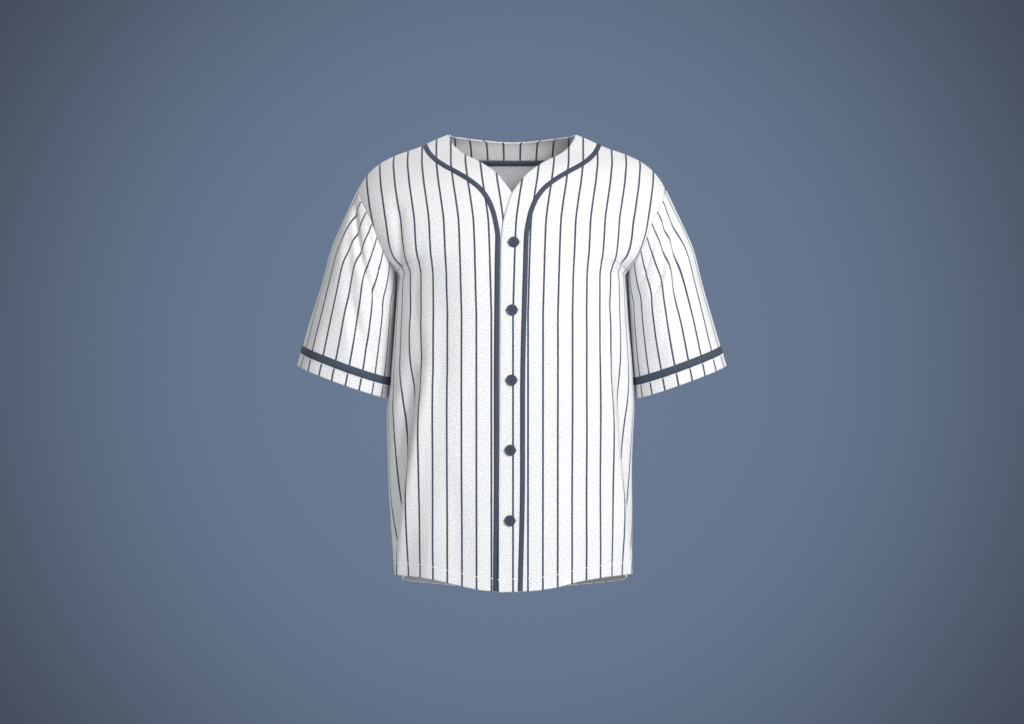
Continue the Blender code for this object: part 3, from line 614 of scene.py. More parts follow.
def body_relief(grid: np.ndarray, folds: tuple, side: Side) -> np.ndarray:
    """Height of a body panel's folds, fading out at the side seam and at the top.

    Args:
        grid: the panel's points.
        folds: a table of BodyFold.
        side: the side the panel is on.

    Returns:
        A height for each point.
    """
    steps = np.linalg.norm(np.diff(grid, axis=1), axis=-1)
    run = np.concatenate([np.zeros((len(grid), 1)), np.cumsum(steps, axis=1)], axis=1)
    u = side.value * grid[:, :1, 0] + run
    z = grid[..., 2]
    relief = np.zeros(z.shape)
    for fold in folds:
        if fold.side is not side:
            continue
        q = np.clip((fold.top_z - z) / (fold.top_z - fold.low_z), 0, 1)
        line = fold.top_u + (fold.low_u - fold.top_u) * q + fold.bow * 4 * q * (1 - q)
        fade = ease(q / FOLD_START_SHARE)
        if fold.low_z > SHORT_FOLD_Z:
            fade = fade * ease((1 - q) / FOLD_END_SHARE)
        relief += fold.depth * fade * np.exp(-(((u - line) / fold.half_width) ** 2))
    to_side = ease((run[:, -1:] - run) / SIDE_SEAM_FADE)
    to_top = ease((z[-1:, :] - z) / TOP_FADE)
    return relief * to_side * to_top


# Between these heights the shoulder's slope takes over from the chest's roundness
LEVEL_LOW_Z, LEVEL_TOP_Z = -0.160, -0.085


def stripe_distance(grid: np.ndarray, side: Side, lean: bool) -> np.ndarray:
    """Distance across the stripes from the garment's centre line, measured on the folded cloth.

    Args:
        grid: the panel's points, columns from centre to side.
        side: the side the panel is on.
        lean: whether the stripes lean outwards above the chest.

    Returns:
        A distance for each point.
    """
    step = np.diff(grid, axis=1)
    z = (grid[:, 1:, 2] + grid[:, :-1, 2]) / 2
    weight = 1 - ease((z - LEVEL_LOW_Z) / (LEVEL_TOP_Z - LEVEL_LOW_Z))
    run = np.cumsum(np.sqrt(step[..., 0] ** 2 + weight * step[..., 1] ** 2), axis=1)
    run = np.concatenate([np.zeros((len(grid), 1)), run], axis=1)
    distance = side.value * grid[:, :1, 0] + run
    if lean:
        distance = distance + read(STRIPE_LEAN, "shift", grid[..., 2])
    return distance


def climb(grid: np.ndarray) -> np.ndarray:
    """Distance of each point of a grid along its own column, from the first row."""
    steps = np.linalg.norm(np.diff(grid, axis=0), axis=-1)
    return np.concatenate([np.zeros((1, grid.shape[1])), np.cumsum(steps, axis=0)])


@dataclass
class Shell:
    """A sheet of cloth with its wall, turned edges and cloth coordinates.

    The outer face has the first material and the inner face the second.
    """

    name: str
    outer: np.ndarray
    across: np.ndarray
    lengthwise: np.ndarray
    turn: int
    materials: list[bpy.types.Material]
    wall: float | np.ndarray = WALL
    closed: bool = False
    edge_round: float = 0.45

    def boundary(self) -> list[list[tuple[int, int]]]:
        """Loops of grid places round the sheet's open edges."""
        rows, columns = self.outer.shape[:2]
        if self.closed:
            return [[(i, j) for j in range(columns - 1)] for i in (0, rows - 1)]
        loop = [(0, j) for j in range(columns - 1)] + [(i, columns - 1) for i in range(rows - 1)]
        loop += [(rows - 1, j) for j in range(columns - 1, 0, -1)] + [(i, 0) for i in range(rows - 1, 0, -1)]
        return [loop]

    def away(self, place: tuple[int, int]) -> np.ndarray:
        """Direction off the sheet at a place of its edge."""
        rows, columns = self.outer.shape[:2]
        i, j = place
        out = np.zeros(3)
        if i in (0, rows - 1):
            out += unit(self.outer[i, j] - self.outer[1 if i == 0 else rows - 2, j])
        if not self.closed and j in (0, columns - 1):
            out += unit(self.outer[i, j] - self.outer[i, 1 if j == 0 else columns - 2])
        return unit(out)

    def build(self) -> bpy.types.Object:
        """Makes the mesh: outer face, inner face and a rounded edge between them."""
        rows, columns = self.outer.shape[:2]
        normal = outward(self.outer, self.turn)
        if self.closed:
            normal[:, 0] = normal[:, -1] = unit(normal[:, 0] + normal[:, -1])
        wall = np.broadcast_to(np.asarray(self.wall, float), (rows, columns))
        inner = self.outer - normal * wall[..., None]
        kept = columns - 1 if self.closed else columns
        loops = self.boundary()
        size = rows * kept
        points = [self.outer[:, :kept].reshape(-1, 3), inner[:, :kept].reshape(-1, 3)]
        start, edge_start = 2 * size, []
        for loop in loops:
            middle = [
                (self.outer[p] + inner[p]) / 2 + self.away(p) * wall[p] * self.edge_round for p in loop
            ]
            points.append(np.array(middle))
            edge_start.append(start)
            start += len(loop)

        def index(i: int, j: int) -> int:
            """Vertex of a grid place on the outer face."""
            return i * kept + j % kept

        faces, places, inside = [], [], []
        for i in range(rows - 1):
            for j in range(columns - 1):
                ring = [(i, j), (i, j + 1), (i + 1, j + 1), (i + 1, j)]
                ring = ring if self.turn > 0 else ring[::-1]
                faces.append([index(*p) for p in ring])
                places.append(ring)
                inside.append(0)
                faces.append([index(*p) + size for p in ring[::-1]])
                places.append(ring[::-1])
                inside.append(1)
        for k, loop in enumerate(loops):
            flip = (self.turn > 0) != (self.closed and k == 1)
            for a in range(len(loop)):
                b = (a + 1) % len(loop)
                p, q = loop[a], loop[b]
                if self.closed and b == 0:
                    q = (p[0], columns - 1)
                ea, eb = edge_start[k] + a, edge_start[k] + b
                for quad in (
                    [index(*p), ea, eb, index(*q)],
                    [ea, index(*p) + size, index(*q) + size, eb],
                ):
                    spot = [p, p, q, q]
                    faces.append(quad if flip else quad[::-1])
                    places.append(spot if flip else spot[::-1])
                    inside.append(0)
        mesh = bpy.data.meshes.new(self.name)
        mesh.from_pydata(np.concatenate(points).tolist(), [], faces)
        flat = [p for ring in places for p in ring]
        cloth = np.array([(self.across[p], self.lengthwise[p]) for p in flat], dtype=np.float32)
        layer = mesh.uv_layers.new(name=CLOTH_MAP)
        layer.data.foreach_set("uv", cloth.ravel())
        mesh.polygons.foreach_set("material_index", inside if len(self.materials) > 1 else [0] * len(inside))
        for material in self.materials:
            mesh.materials.append(material)
        mesh.shade_smooth()
        mesh.validate()
        obj = bpy.data.objects.new(self.name, mesh)
        bpy.context.scene.collection.objects.link(obj)
        return obj


CLOTH_MAP = "cloth"


def dress(obj: bpy.types.Object, replaced: list[str]) -> bpy.types.Object:
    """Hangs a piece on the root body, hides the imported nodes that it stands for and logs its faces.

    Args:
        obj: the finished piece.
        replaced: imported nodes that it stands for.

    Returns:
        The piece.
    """
    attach(obj, "root")
    if replaced:
        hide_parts(*replaced)
    LOG.info("%s: %d faces", obj.name, len(obj.data.polygons))
    return obj


def linear(code: str) -> tuple[float, float, float, float]:
    """An sRGB hex colour as linear red, green, blue and alpha."""
    parts = [int(code[i : i + 2], 16) / 255 for i in (1, 3, 5)]
    return (*[v / 12.92 if v <= 0.04045 else ((v + 0.055) / 1.055) ** 2.4 for v in parts], 1.0)


def add_node(
    tree: bpy.types.NodeTree,
    kind: str,
    settings: dict | None = None,
    values: dict | None = None,
    links: dict | None = None,
) -> bpy.types.Node:
    """Adds a node to a tree.

    Args:
        tree: the material's or the world's tree.
        kind: Blender's name of the node's type.
        settings: attributes to set.
        values: numbers and colours for its inputs, by name or place.
        links: output sockets to join to its inputs, by name or place.

    Returns:
        The node.
    """
    made = tree.nodes.new(kind)
    for name, value in (settings or {}).items():
        setattr(made, name, value)
    for key, value in (values or {}).items():
        made.inputs[key].default_value = value
    for key, socket in (links or {}).items():
        tree.links.new(socket, made.inputs[key])
    return made


def new_material(name: str, shader: dict) -> tuple[bpy.types.Material, bpy.types.NodeTree, bpy.types.Node]:
    """A material with its shader's constant sockets set.

    Args:
        name: the finish's name.
        shader: values of the shader's own sockets.

    Returns:
        The material, its node tree and its shader.
    """
    material = bpy.data.materials.new(name)
    material.use_nodes = True
    tree = material.node_tree
    node = tree.nodes["Principled BSDF"]
    for key, value in shader.items():
        node.inputs[key].default_value = value
    return material, tree, node


@dataclass(frozen=True)
class DoubleKnit:
    """Double-knit polyester: smooth, matt and springy, its pinstripes dyed into the face.

    The eye sees a near-white ground with a soft bloom at grazing angles, a fine grain of stitches and crisp
    narrow stripes. The wrong side has no stripes; its greyer ground is painted shade for the dim inside.
    """

    name: str = "double_knit_polyester_face"
    ground: str = "#f4f4f5"
    stripe: str = "#37465c"
    pitch: float = 24 * MM
    width: float = 3.1 * MM
    first: float = 0.0
    # Real stitches are 0.7 mm apart. They are drawn over three times as coarse, so that the grain shows.
    stitch: float = 2.3 * MM
    soft_edge: float = 0.25 * MM
    grain: float = 0.26
    roughness: float = 0.82

    def material(self) -> bpy.types.Material:
        """The finish, drawn from the cloth's own coordinates."""
        material, tree, shader = new_material(
            self.name,
            {"Roughness": self.roughness, "IOR": 1.45, "Sheen Weight": 0.15, "Sheen Roughness": 0.5},
        )
        cloth = add_node(tree, "ShaderNodeUVMap", {"uv_map": CLOTH_MAP})
        place = add_node(tree, "ShaderNodeSeparateXYZ", links={0: cloth.outputs[0]})
        fibre = add_node(
            tree,
            "ShaderNodeTexNoise",
            values={"Scale": 1 / self.stitch, "Detail": 2.0, "Roughness": 0.6},
            links={"Vector": cloth.outputs[0]},
        )
        cloud = add_node(
            tree,
            "ShaderNodeTexNoise",
            values={"Scale": 1 / (60 * MM), "Detail": 2.0},
            links={"Vector": cloth.outputs[0]},
        )
        speckle = add_node(
            tree,
            "ShaderNodeMapRange",
            values={"From Min": 0.38, "From Max": 0.60, "To Min": 1 - self.grain, "To Max": 1.0},
            links={"Value": fibre.outputs[0]},
        )
        wash = add_node(
            tree,
            "ShaderNodeMapRange",
            values={"From Min": 0.3, "From Max": 0.7, "To Min": 0.985, "To Max": 1.0},
            links={"Value": cloud.outputs[0]},
        )
        tone = add_node(
            tree,
            "ShaderNodeMath",
            {"operation": "MULTIPLY"},
            links={0: speckle.outputs[0], 1: wash.outputs[0]},
        )
        ground = add_node(
            tree,
            "ShaderNodeVectorMath",
            {"operation": "SCALE"},
            {0: linear(self.ground)[:3]},
            {"Scale": tone.outputs[0]},
        )
        colour = ground.outputs[0]
        if self.width > 0:
            colour = self.striped(tree, place.outputs["X"], fibre.outputs[0], ground.outputs[0])
        tree.links.new(colour, shader.inputs["Base Color"])
        tree.links.new(self.knit(tree, place, fibre.outputs[0]), shader.inputs["Normal"])
        return material

    def striped(
        self,
        tree: bpy.types.NodeTree,
        across: bpy.types.NodeSocket,
        fibre: bpy.types.NodeSocket,
        ground: bpy.types.NodeSocket,
    ) -> bpy.types.NodeSocket:
        """Stripes over the ground, their edges roughened by the stitches.

        Args:
            tree: the material's tree.
            across: distance across the stripes.
            fibre: the fibres' noise.
            ground: the ground's colour.

        Returns:
            The colour.
        """
        moved = add_node(tree, "ShaderNodeMath", {"operation": "SUBTRACT"}, {1: self.first}, {0: across})
        apart = add_node(
            tree, "ShaderNodeMath", {"operation": "PINGPONG"}, {1: self.pitch / 2}, {0: moved.outputs[0]}
        )
        ragged = add_node(
            tree,
            "ShaderNodeMath",
            {"operation": "MULTIPLY_ADD"},
            {1: self.soft_edge, 2: -self.soft_edge / 2},
            {0: fibre},
        )
        distance = add_node(
            tree, "ShaderNodeMath", {"operation": "ADD"}, links={0: apart.outputs[0], 1: ragged.outputs[0]}
        )
        mask = add_node(
            tree,
            "ShaderNodeMapRange",
            {"interpolation_type": "SMOOTHSTEP"},
            {
                "From Min": self.width / 2 - self.soft_edge / 2,
                "From Max": self.width / 2 + self.soft_edge / 2,
                "To Min": 1.0,
                "To Max": 0.0,
            },
            {"Value": distance.outputs[0]},
        )
        mixed = add_node(
            tree,
            "ShaderNodeMix",
            {"data_type": "RGBA"},
            {"B": linear(self.stripe)},
            {"Factor": mask.outputs[0]},
        )
        tree.links.new(ground, mixed.inputs["A"])
        return mixed.outputs["Result"]

    def knit(
        self, tree: bpy.types.NodeTree, place: bpy.types.Node, fibre: bpy.types.NodeSocket
    ) -> bpy.types.NodeSocket:
        """Bump of the rows and columns of stitches.

        Args:
            tree: the material's tree.
            place: the node that gives the cloth's coordinates.
            fibre: the fibres' noise.

        Returns:
            The normal.
        """
        waves = []
        for axis, pitch in (("X", self.stitch), ("Y", self.stitch * 0.8)):
            turned = add_node(
                tree,
                "ShaderNodeMath",
                {"operation": "MULTIPLY"},
                {1: 2 * math.pi / pitch},
                {0: place.outputs[axis]},
            )
            wave = add_node(tree, "ShaderNodeMath", {"operation": "SINE"}, links={0: turned.outputs[0]})
            waves.append(wave)
        cells = add_node(
            tree,
            "ShaderNodeMath",
            {"operation": "MULTIPLY"},
            links={0: waves[0].outputs[0], 1: waves[1].outputs[0]},
        )
        height = add_node(
            tree, "ShaderNodeMath", {"operation": "MULTIPLY_ADD"}, {1: 0.35}, {0: cells.outputs[0], 2: fibre}
        )
        bump = add_node(
            tree,
            "ShaderNodeBump",
            values={"Strength": 0.8, "Distance": 0.45 * MM},
            links={"Height": height.outputs[0]},
        )
        return bump.outputs[0]


@dataclass(frozen=True)
class TwillTape:
    """Polyester twill tape, woven flat and dyed navy: dull, with fine diagonal ribs across its width."""

    name: str = "navy_polyester_twill_tape"
    colour: str = "#3f4b5d"
    # Painted shade: the darker colour of the rib hollows, where the ribs shade them.
    painted_groove_shade: str = "#313b4a"
    # Real ribs are 0.5 mm apart; they are drawn at 1.6 mm, so that they show.
    rib: float = 1.6 * MM
    roughness: float = 0.72

    def material(self) -> bpy.types.Material:
        """The finish, its ribs drawn from the tape's own coordinates, as bumps and as painted shade in their
        hollows.
        """
        material, tree, shader = new_material(
            self.name, {"Roughness": self.roughness, "IOR": 1.5, "Sheen Weight": 0.08, "Sheen Roughness": 0.4}
        )
        cloth = add_node(tree, "ShaderNodeUVMap", {"uv_map": CLOTH_MAP})
        place = add_node(tree, "ShaderNodeSeparateXYZ", links={0: cloth.outputs[0]})
        slant = add_node(
            tree, "ShaderNodeMath", {"operation": "ADD"}, links={0: place.outputs["X"], 1: place.outputs["Y"]}
        )
        turned = add_node(
            tree,
            "ShaderNodeMath",
            {"operation": "MULTIPLY"},
            {1: 2 * math.pi / self.rib},
            {0: slant.outputs[0]},
        )
        ribs = add_node(tree, "ShaderNodeMath", {"operation": "SINE"}, links={0: turned.outputs[0]})
        fibre = add_node(
            tree,
            "ShaderNodeTexNoise",
            values={"Scale": 1 / (1.2 * MM), "Detail": 2.0},
            links={"Vector": cloth.outputs[0]},
        )
        height = add_node(
            tree,
            "ShaderNodeMath",
            {"operation": "MULTIPLY_ADD"},
            {1: 0.5},
            {0: ribs.outputs[0], 2: fibre.outputs[0]},
        )
        # Painted shade: the colour darkens towards the low parts of the ribs.
        depth = add_node(
            tree,
            "ShaderNodeMapRange",
            values={"From Min": -0.2, "From Max": 1.1},
            links={"Value": height.outputs[0]},
        )
        mixed = add_node(
            tree,
            "ShaderNodeMix",
            {"data_type": "RGBA"},
            {"A": linear(self.painted_groove_shade), "B": linear(self.colour)},
            {"Factor": depth.outputs[0]},
        )
        bump = add_node(
            tree,
            "ShaderNodeBump",
            values={"Strength": 0.6, "Distance": 0.25 * MM},
            links={"Height": height.outputs[0]},
        )
        tree.links.new(mixed.outputs["Result"], shader.inputs["Base Color"])
        tree.links.new(bump.outputs[0], shader.inputs["Normal"])
        return material


@dataclass(frozen=True)
class MouldedResin:
    """Polyester resin, moulded and tumbled: satin navy with faint cloudy streaks, as buttons are."""

    name: str = "navy_moulded_polyester_resin"
    colour: str = "#38435a"
    streak: str = "#2c3547"
    cloud: float = 5 * MM
    roughness: float = 0.34

    def material(self) -> bpy.types.Material:
        """The finish, its streaks drawn through the button's body."""
        material, tree, shader = new_material(
            self.name, {"Roughness": self.roughness, "IOR": 1.54, "Coat Weight": 0.1, "Coat Roughness": 0.2}
        )
        where = add_node(tree, "ShaderNodeTexCoord")
        streaks = add_node(
            tree,
            "ShaderNodeTexNoise",
            values={"Scale": 1 / self.cloud, "Detail": 4.0, "Distortion": 1.2},
            links={"Vector": where.outputs["Object"]},
        )
        scratches = add_node(
            tree,
            "ShaderNodeTexNoise",
            values={"Scale": 1 / (0.8 * MM), "Detail": 2.0},
            links={"Vector": where.outputs["Object"]},
        )
        mixed = add_node(
            tree,
            "ShaderNodeMix",
            {"data_type": "RGBA"},
            {"A": linear(self.streak), "B": linear(self.colour)},
            {"Factor": streaks.outputs[0]},
        )
        worn = add_node(
            tree,
            "ShaderNodeMapRange",
            values={"To Min": self.roughness - 0.08, "To Max": self.roughness + 0.1},
            links={"Value": scratches.outputs[0]},
        )
        bump = add_node(
            tree,
            "ShaderNodeBump",
            values={"Strength": 0.2, "Distance": 0.03 * MM},
            links={"Height": scratches.outputs[0]},
        )
        tree.links.new(mixed.outputs["Result"], shader.inputs["Base Color"])
        tree.links.new(worn.outputs[0], shader.inputs["Roughness"])
        tree.links.new(bump.outputs[0], shader.inputs["Normal"])
        return material


@dataclass(frozen=True)
class SewingThread:
    """Spun polyester sewing thread: two twisted plies with a low sheen."""

    name: str
    colour: str
    # Painted shade: the darker colour of the grooves between the plies.
    painted_groove_shade: str
    # Real twist is 0.3 mm; it is drawn at 0.8 mm, so that it shows.
    twist: float = 0.8 * MM

    def material(self) -> bpy.types.Material:
        """The finish, its plies drawn as slanting bands, with painted shade in the grooves between them."""
        material, tree, shader = new_material(self.name, {"Roughness": 0.6, "IOR": 1.5, "Sheen Weight": 0.1})
        where = add_node(tree, "ShaderNodeTexCoord")
        plies = add_node(
            tree,
            "ShaderNodeTexWave",
            {"bands_direction": "DIAGONAL"},
            {"Scale": 1 / self.twist / 6, "Distortion": 1.0, "Detail": 1.0},
            {"Vector": where.outputs["Object"]},
        )
        # Painted shade: the bands darken into the grooves between the plies.
        mixed = add_node(
            tree,
            "ShaderNodeMix",
            {"data_type": "RGBA"},
            {"A": linear(self.painted_groove_shade), "B": linear(self.colour)},
            {"Factor": plies.outputs["Fac"]},
        )
        bump = add_node(
            tree,
            "ShaderNodeBump",
            values={"Strength": 0.3, "Distance": 0.05 * MM},
            links={"Height": plies.outputs["Fac"]},
        )
        tree.links.new(mixed.outputs["Result"], shader.inputs["Base Color"])
        tree.links.new(bump.outputs[0], shader.inputs["Normal"])
        return material


@dataclass(frozen=True)
class Finishes:
    """Every material of the garment, made once."""

    face: bpy.types.Material
    facing_face: bpy.types.Material
    wrong_side: bpy.types.Material
    tape: bpy.types.Material
    resin: bpy.types.Material
    white_thread: bpy.types.Material
    navy_thread: bpy.types.Material


def hem_wall(lengthwise: np.ndarray, depth: float) -> np.ndarray:
    """The cloth's thickness, doubled where the hem is turned up inside."""
    return WALL * (2 - ease((lengthwise - depth) / (1.5 * MM)))


def hem_groove(lengthwise: np.ndarray, depth: float) -> np.ndarray:
    """How far the hem's stitches pull the cloth in."""
    return -0.45 * MM * np.exp(-(((lengthwise - depth) / (1.6 * MM)) ** 2))


@dataclass
class FrontPanel:
    """One front of the jersey, from its button edge to the side seam."""

    side: Side
    seed: int
    near_step: float = 4 * MM
    near_columns: int = 11
    columns: int = 80
    rows: int = 165
    swell: float = 0.5 * MM
    grid: np.ndarray = field(init=False)

    @property
    def name(self) -> str:
        """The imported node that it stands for."""
        return "front_left" if self.side is Side.LEFT else "front_right"

    def __post_init__(self) -> None:
        """Works the panel's points out."""
        near = [self.near_step * k for k in range(self.near_columns + 1)]
        grid = regrid(BodyForm().half(Face.FRONT, self.side), near, self.columns, self.rows, NEAR_SEAM)
        if self.side is Side.RIGHT:
            across = (grid[..., 0] - UNDERLAP_NONE_X) / (UNDERLAP_FULL_X - UNDERLAP_NONE_X)
            down = (UNDERLAP_NONE_Z - grid[..., 2]) / (UNDERLAP_NONE_Z - UNDERLAP_FULL_Z)
            grid[..., 1] += UNDERLAP_DROP * ease(across) * ease(down)
        relief = body_relief(grid, FRONT_FOLDS, self.side) + body_relief(grid, FRONT_CREASES, self.side)
        calm = ease((self.side.value * grid[..., 0] - 0.03) / 0.06) * ease((-0.05 - grid[..., 2]) / 0.08)
        swell = unevenness(self.seed, grid[..., 0], grid[..., 2], 0.09, self.swell)
        relief += calm * swell + hem_groove(climb(grid), HEM_DEPTH)
        self.grid = grid + outward(grid, self.side.value) * relief[..., None]

    def build(self, finishes: Finishes) -> bpy.types.Object:
        lengthwise = climb(self.grid)
        panel = Shell(
            self.name + "_cloth",
            self.grid,
            stripe_distance(self.grid, self.side, True) - FIRST_STRIPE[self.side],
            lengthwise,
            self.side.value,
            [finishes.face, finishes.wrong_side],
            hem_wall(lengthwise, HEM_DEPTH),
        ).build()
        dress(panel, [self.name])
        return panel


@dataclass
class BackPanel:
    """The back in one piece, its columns from the wearer's left to the right."""

    half_columns: int = 90
    rows: int = 160
    seed: int = 31
    swell: float = 0.7 * MM
    facing_share: float = 0.503
    near_top: tuple[float, ...] = (0.072, 0.066, 0.060, 0.054, 0.047, 0.040, 0.036, 0.032, 0.028, 0.024)
    near_neck: tuple[float, ...] = (0.020, 0.016, 0.012, 0.008, 0.005, 0.003, 0.001, 0.0)
    grid: np.ndarray = field(init=False)

    def __post_init__(self) -> None:
        """Works the panel's points out."""
        left, right = self.half(Side.LEFT), self.half(Side.RIGHT)
        self.grid = np.concatenate([left[:, :0:-1], right], axis=1)

    def half(self, side: Side) -> np.ndarray:
        """Points of one half."""
        near_top = [*self.near_top, *self.near_neck]
        grid = regrid(BodyForm().half(Face.BACK, side), [0.0], self.half_columns, self.rows, near_top)
        relief = body_relief(grid, BACK_FOLDS, side) + body_relief(grid, BACK_CREASES, side)
        calm = ease((-0.06 - grid[..., 2]) / 0.10) * ease((0.2 - np.abs(grid[..., 0])) / 0.03)
        swell = unevenness(self.seed, grid[..., 0], grid[..., 2], 0.10, self.swell)
        relief += calm * swell + hem_groove(climb(grid), HEM_DEPTH)
        return grid + outward(grid, -side.value) * relief[..., None]

    def build(self, finishes: Finishes) -> bpy.types.Object:
        centre = self.half_columns
        left = stripe_distance(self.grid[:, centre::-1], Side.LEFT, False)
        right = stripe_distance(self.grid[:, centre:], Side.RIGHT, False)
        across = np.concatenate([left[:, :0:-1], -right], axis=1)
        lengthwise = climb(self.grid)
        panel = Shell(
            "back_cloth",
            self.grid,
            across,
            lengthwise,
            1,
            [finishes.face, finishes.wrong_side],
            hem_wall(lengthwise, HEM_DEPTH),
        ).build()
        return dress(panel, ["back"])

    def neck_strip(self, shares: np.ndarray, upper: tuple, lower: tuple) -> tuple[np.ndarray, np.ndarray]:
        """A strip on the back's inner face near the neck.

        Args:
            shares: places of the strip's rows between its two edges.
            upper: height of its upper edge near the middle, and its distance from the top past the neck.
            lower: the same of its lower edge.

        Returns:
            The strip's points and the directions into the garment.
        """
        reach = round(self.half_columns * self.facing_share)
        points, inwards = [], []
        normals = -outward(self.grid, 1)
        for j in range(self.half_columns - reach, self.half_columns + reach + 1):
            column = self.grid[:, j]
            run = along(column)
            plain = ease((abs(column[-1, 0]) - FACING_LEVEL_X) / (FACING_PLAIN_X - FACING_LEVEL_X))
            ends = []
            for level_z, depth in (upper, lower):
                level = run[-1] if level_z is None else np.interp(level_z, column[:, 2], run)
                ends.append(level + (run[-1] - depth - level) * plain)
            wanted = ends[0] + (ends[1] - ends[0]) * shares
            points.append(np.stack([np.interp(wanted, run, column[:, k]) for k in range(3)], axis=-1))
            inwards.append(np.stack([np.interp(wanted, run, normals[:, j, k]) for k in range(3)], axis=-1))
        return np.stack(points, axis=1), unit(np.stack(inwards, axis=1))


@dataclass
class Sleeve:
    """A set-in sleeve, from the armhole to the cuff; its columns start and end under the arm."""

    side: Side
    seed: int
    around: int = 144
    rows: int = 76
    swell: float = 0.6 * MM
    near_cuff: tuple[float, ...] = (
        0.040, 0.034, 0.0275, 0.021, 0.0195, 0.018, 0.013, 0.008, 0.004, 0.001, 0.0
    )
    grid: np.ndarray = field(init=False)
    across: np.ndarray = field(init=False)

    @property
    def name(self) -> str:
        """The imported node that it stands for."""
        return "sleeve_left" if self.side is Side.LEFT else "sleeve_right"

    def armhole(self, angles: np.ndarray) -> np.ndarray:
        """The armhole's own points at angles: 0 at the tip, 90 degrees in front, 180 under the arm."""
        z = SHOULDER_TIP_Z + (UNDERARM_Z - SHOULDER_TIP_Z) * (1 - np.cos(angles)) / 2
        front = np.sin(angles) >= 0
        x = self.side.value * np.where(front, read(ARMHOLE, "front_x", z), read(ARMHOLE, "back_x", z))
        form = BodyForm()
        y = np.where(front, form.surface_y(x, z, Face.FRONT), form.surface_y(x, z, Face.BACK))
        return np.stack([x, y, z], axis=-1)

    def ring(self, share: float, angles: np.ndarray) -> np.ndarray:
        """An oval ring of the sleeve at a share of its length."""
        at = np.full(1, share)
        columns = [name for name in Ring.__dataclass_fields__ if name != "share"]
        row = {name: read(SLEEVE_RINGS, name, at, "share") for name in columns}
        middle_x, reach_x = (row["outer_x"] + row["inner_x"]) / 2, (row["outer_x"] - row["inner_x"]) / 2
        middle_z, reach_z = (row["outer_z"] + row["inner_z"]) / 2, (row["outer_z"] - row["inner_z"]) / 2
        turn = np.sin(angles)
        depth = np.where(turn >= 0, row["front_depth"], row["back_depth"])
        x = middle_x + reach_x * np.cos(angles)
        z = middle_z + reach_z * np.cos(angles) - CUFF_DIP * share * np.maximum(turn, 0)
        return np.stack([self.side.value * x, row["middle_y"] - depth * turn, z], axis=-1)

    def relief(self, folds: tuple, degrees: np.ndarray, shares: np.ndarray) -> np.ndarray:
        """Height of the sleeve's folds, none at the armhole or where the sleeve hangs beside the body."""
        total = np.zeros((len(shares), degrees.shape[-1]))
        for fold in folds:
            if fold.side is not self.side:
                continue
            q = (shares - fold.top_share) / (fold.low_share - fold.top_share)
            line = fold.top_angle + (fold.low_angle - fold.top_angle) * np.clip(q, 0, 1)
            gap = np.radians(degrees - line) * SLEEVE_RADIUS
            fade = ease((q + SLEEVE_FOLD_PAST) / SLEEVE_FOLD_FADE)
            fade = fade * ease((1 + SLEEVE_FOLD_PAST - q) / SLEEVE_FOLD_FADE)
            total += fold.depth * fade * np.exp(-((gap / fold.half_width) ** 2))
        from_armhole = ease(shares / ARMHOLE_FADE)
        from_body = ease((np.abs(degrees - 180) - UNDERARM_PLAIN) / UNDERARM_PLAIN)
        return total * from_armhole * from_body

    def seam_line(self) -> tuple[np.ndarray, np.ndarray]:
        """The armhole's points and the direction from the body to the sleeve."""
        angles = np.linspace(-math.pi, math.pi, self.around + 1)
        seam = self.armhole(angles)
        slope = seam[self.around // 2] - seam[0]
        return seam, unit(np.array([self.side.value * slope[2], 0.0, -self.side.value * slope[0]]))

    def __post_init__(self) -> None:
        """Works the sleeve's points out."""
        angles = np.linspace(-math.pi, math.pi, self.around + 1)
        shares = np.linspace(0, 1, FINE // 2 + 1)
        seam, away = self.seam_line()
        fit = seam + ARMHOLE_GAP * away - self.ring(0.0, angles)
        fine = np.stack([self.ring(share, angles) + fit * (1 - share) ** 3 for share in shares])
        degrees = (np.degrees(angles) % 360)[None, :]
        relief = self.relief(SLEEVE_FOLDS, degrees, shares[:, None])
        relief += self.relief(SLEEVE_CREASES, degrees, shares[:, None])
        arc = np.abs(angles)[None, :] * SLEEVE_RADIUS
        swell = unevenness(self.seed, arc, shares[:, None] * 0.25, 0.07, self.swell)
        relief += swell * ease(shares[:, None] / 0.2) * ease((np.abs(degrees - 180) - 20) / 30)
        steps = np.linalg.norm(np.diff(fine, axis=1), axis=-1)
        run = np.concatenate([np.zeros((len(fine), 1)), np.cumsum(steps, axis=1)], axis=1)
        smooth_across = run - run[:, self.around // 2 : self.around // 2 + 1] - SLEEVE_STRIPE_SHIFT
        fine = fine + outward(fine, self.side.value) * relief[..., None]
        columns, across = [], []
        for j in range(fine.shape[1]):
            total = along(fine[:, j])[-1]
            rest = np.linspace(0, total - self.near_cuff[0], self.rows + 1)[:-1]
            wanted = np.concatenate([rest, total - np.array(self.near_cuff)])
            columns.append(at_lengths(fine[:, j], wanted))
            across.append(np.interp(wanted, along(fine[:, j]), smooth_across[:, j]))
        grid = np.stack(columns, axis=1)
        grid[:, -1] = grid[:, 0]
        self.grid, self.across = grid, np.stack(across, axis=1)

    def from_cuff(self) -> np.ndarray:
        """Distance of every point from the cuff."""
        total = climb(self.grid)
        return total[-1:] - total

    def build(self, finishes: Finishes) -> bpy.types.Object:
        sleeve = Shell(
            self.name + "_cloth",
            self.grid,
            self.across,
            self.from_cuff(),
            self.side.value,
            [finishes.face, finishes.wrong_side],
            hem_wall(self.from_cuff(), HEM_DEPTH),
            closed=True,
        ).build()
        return dress(sleeve, [self.name])


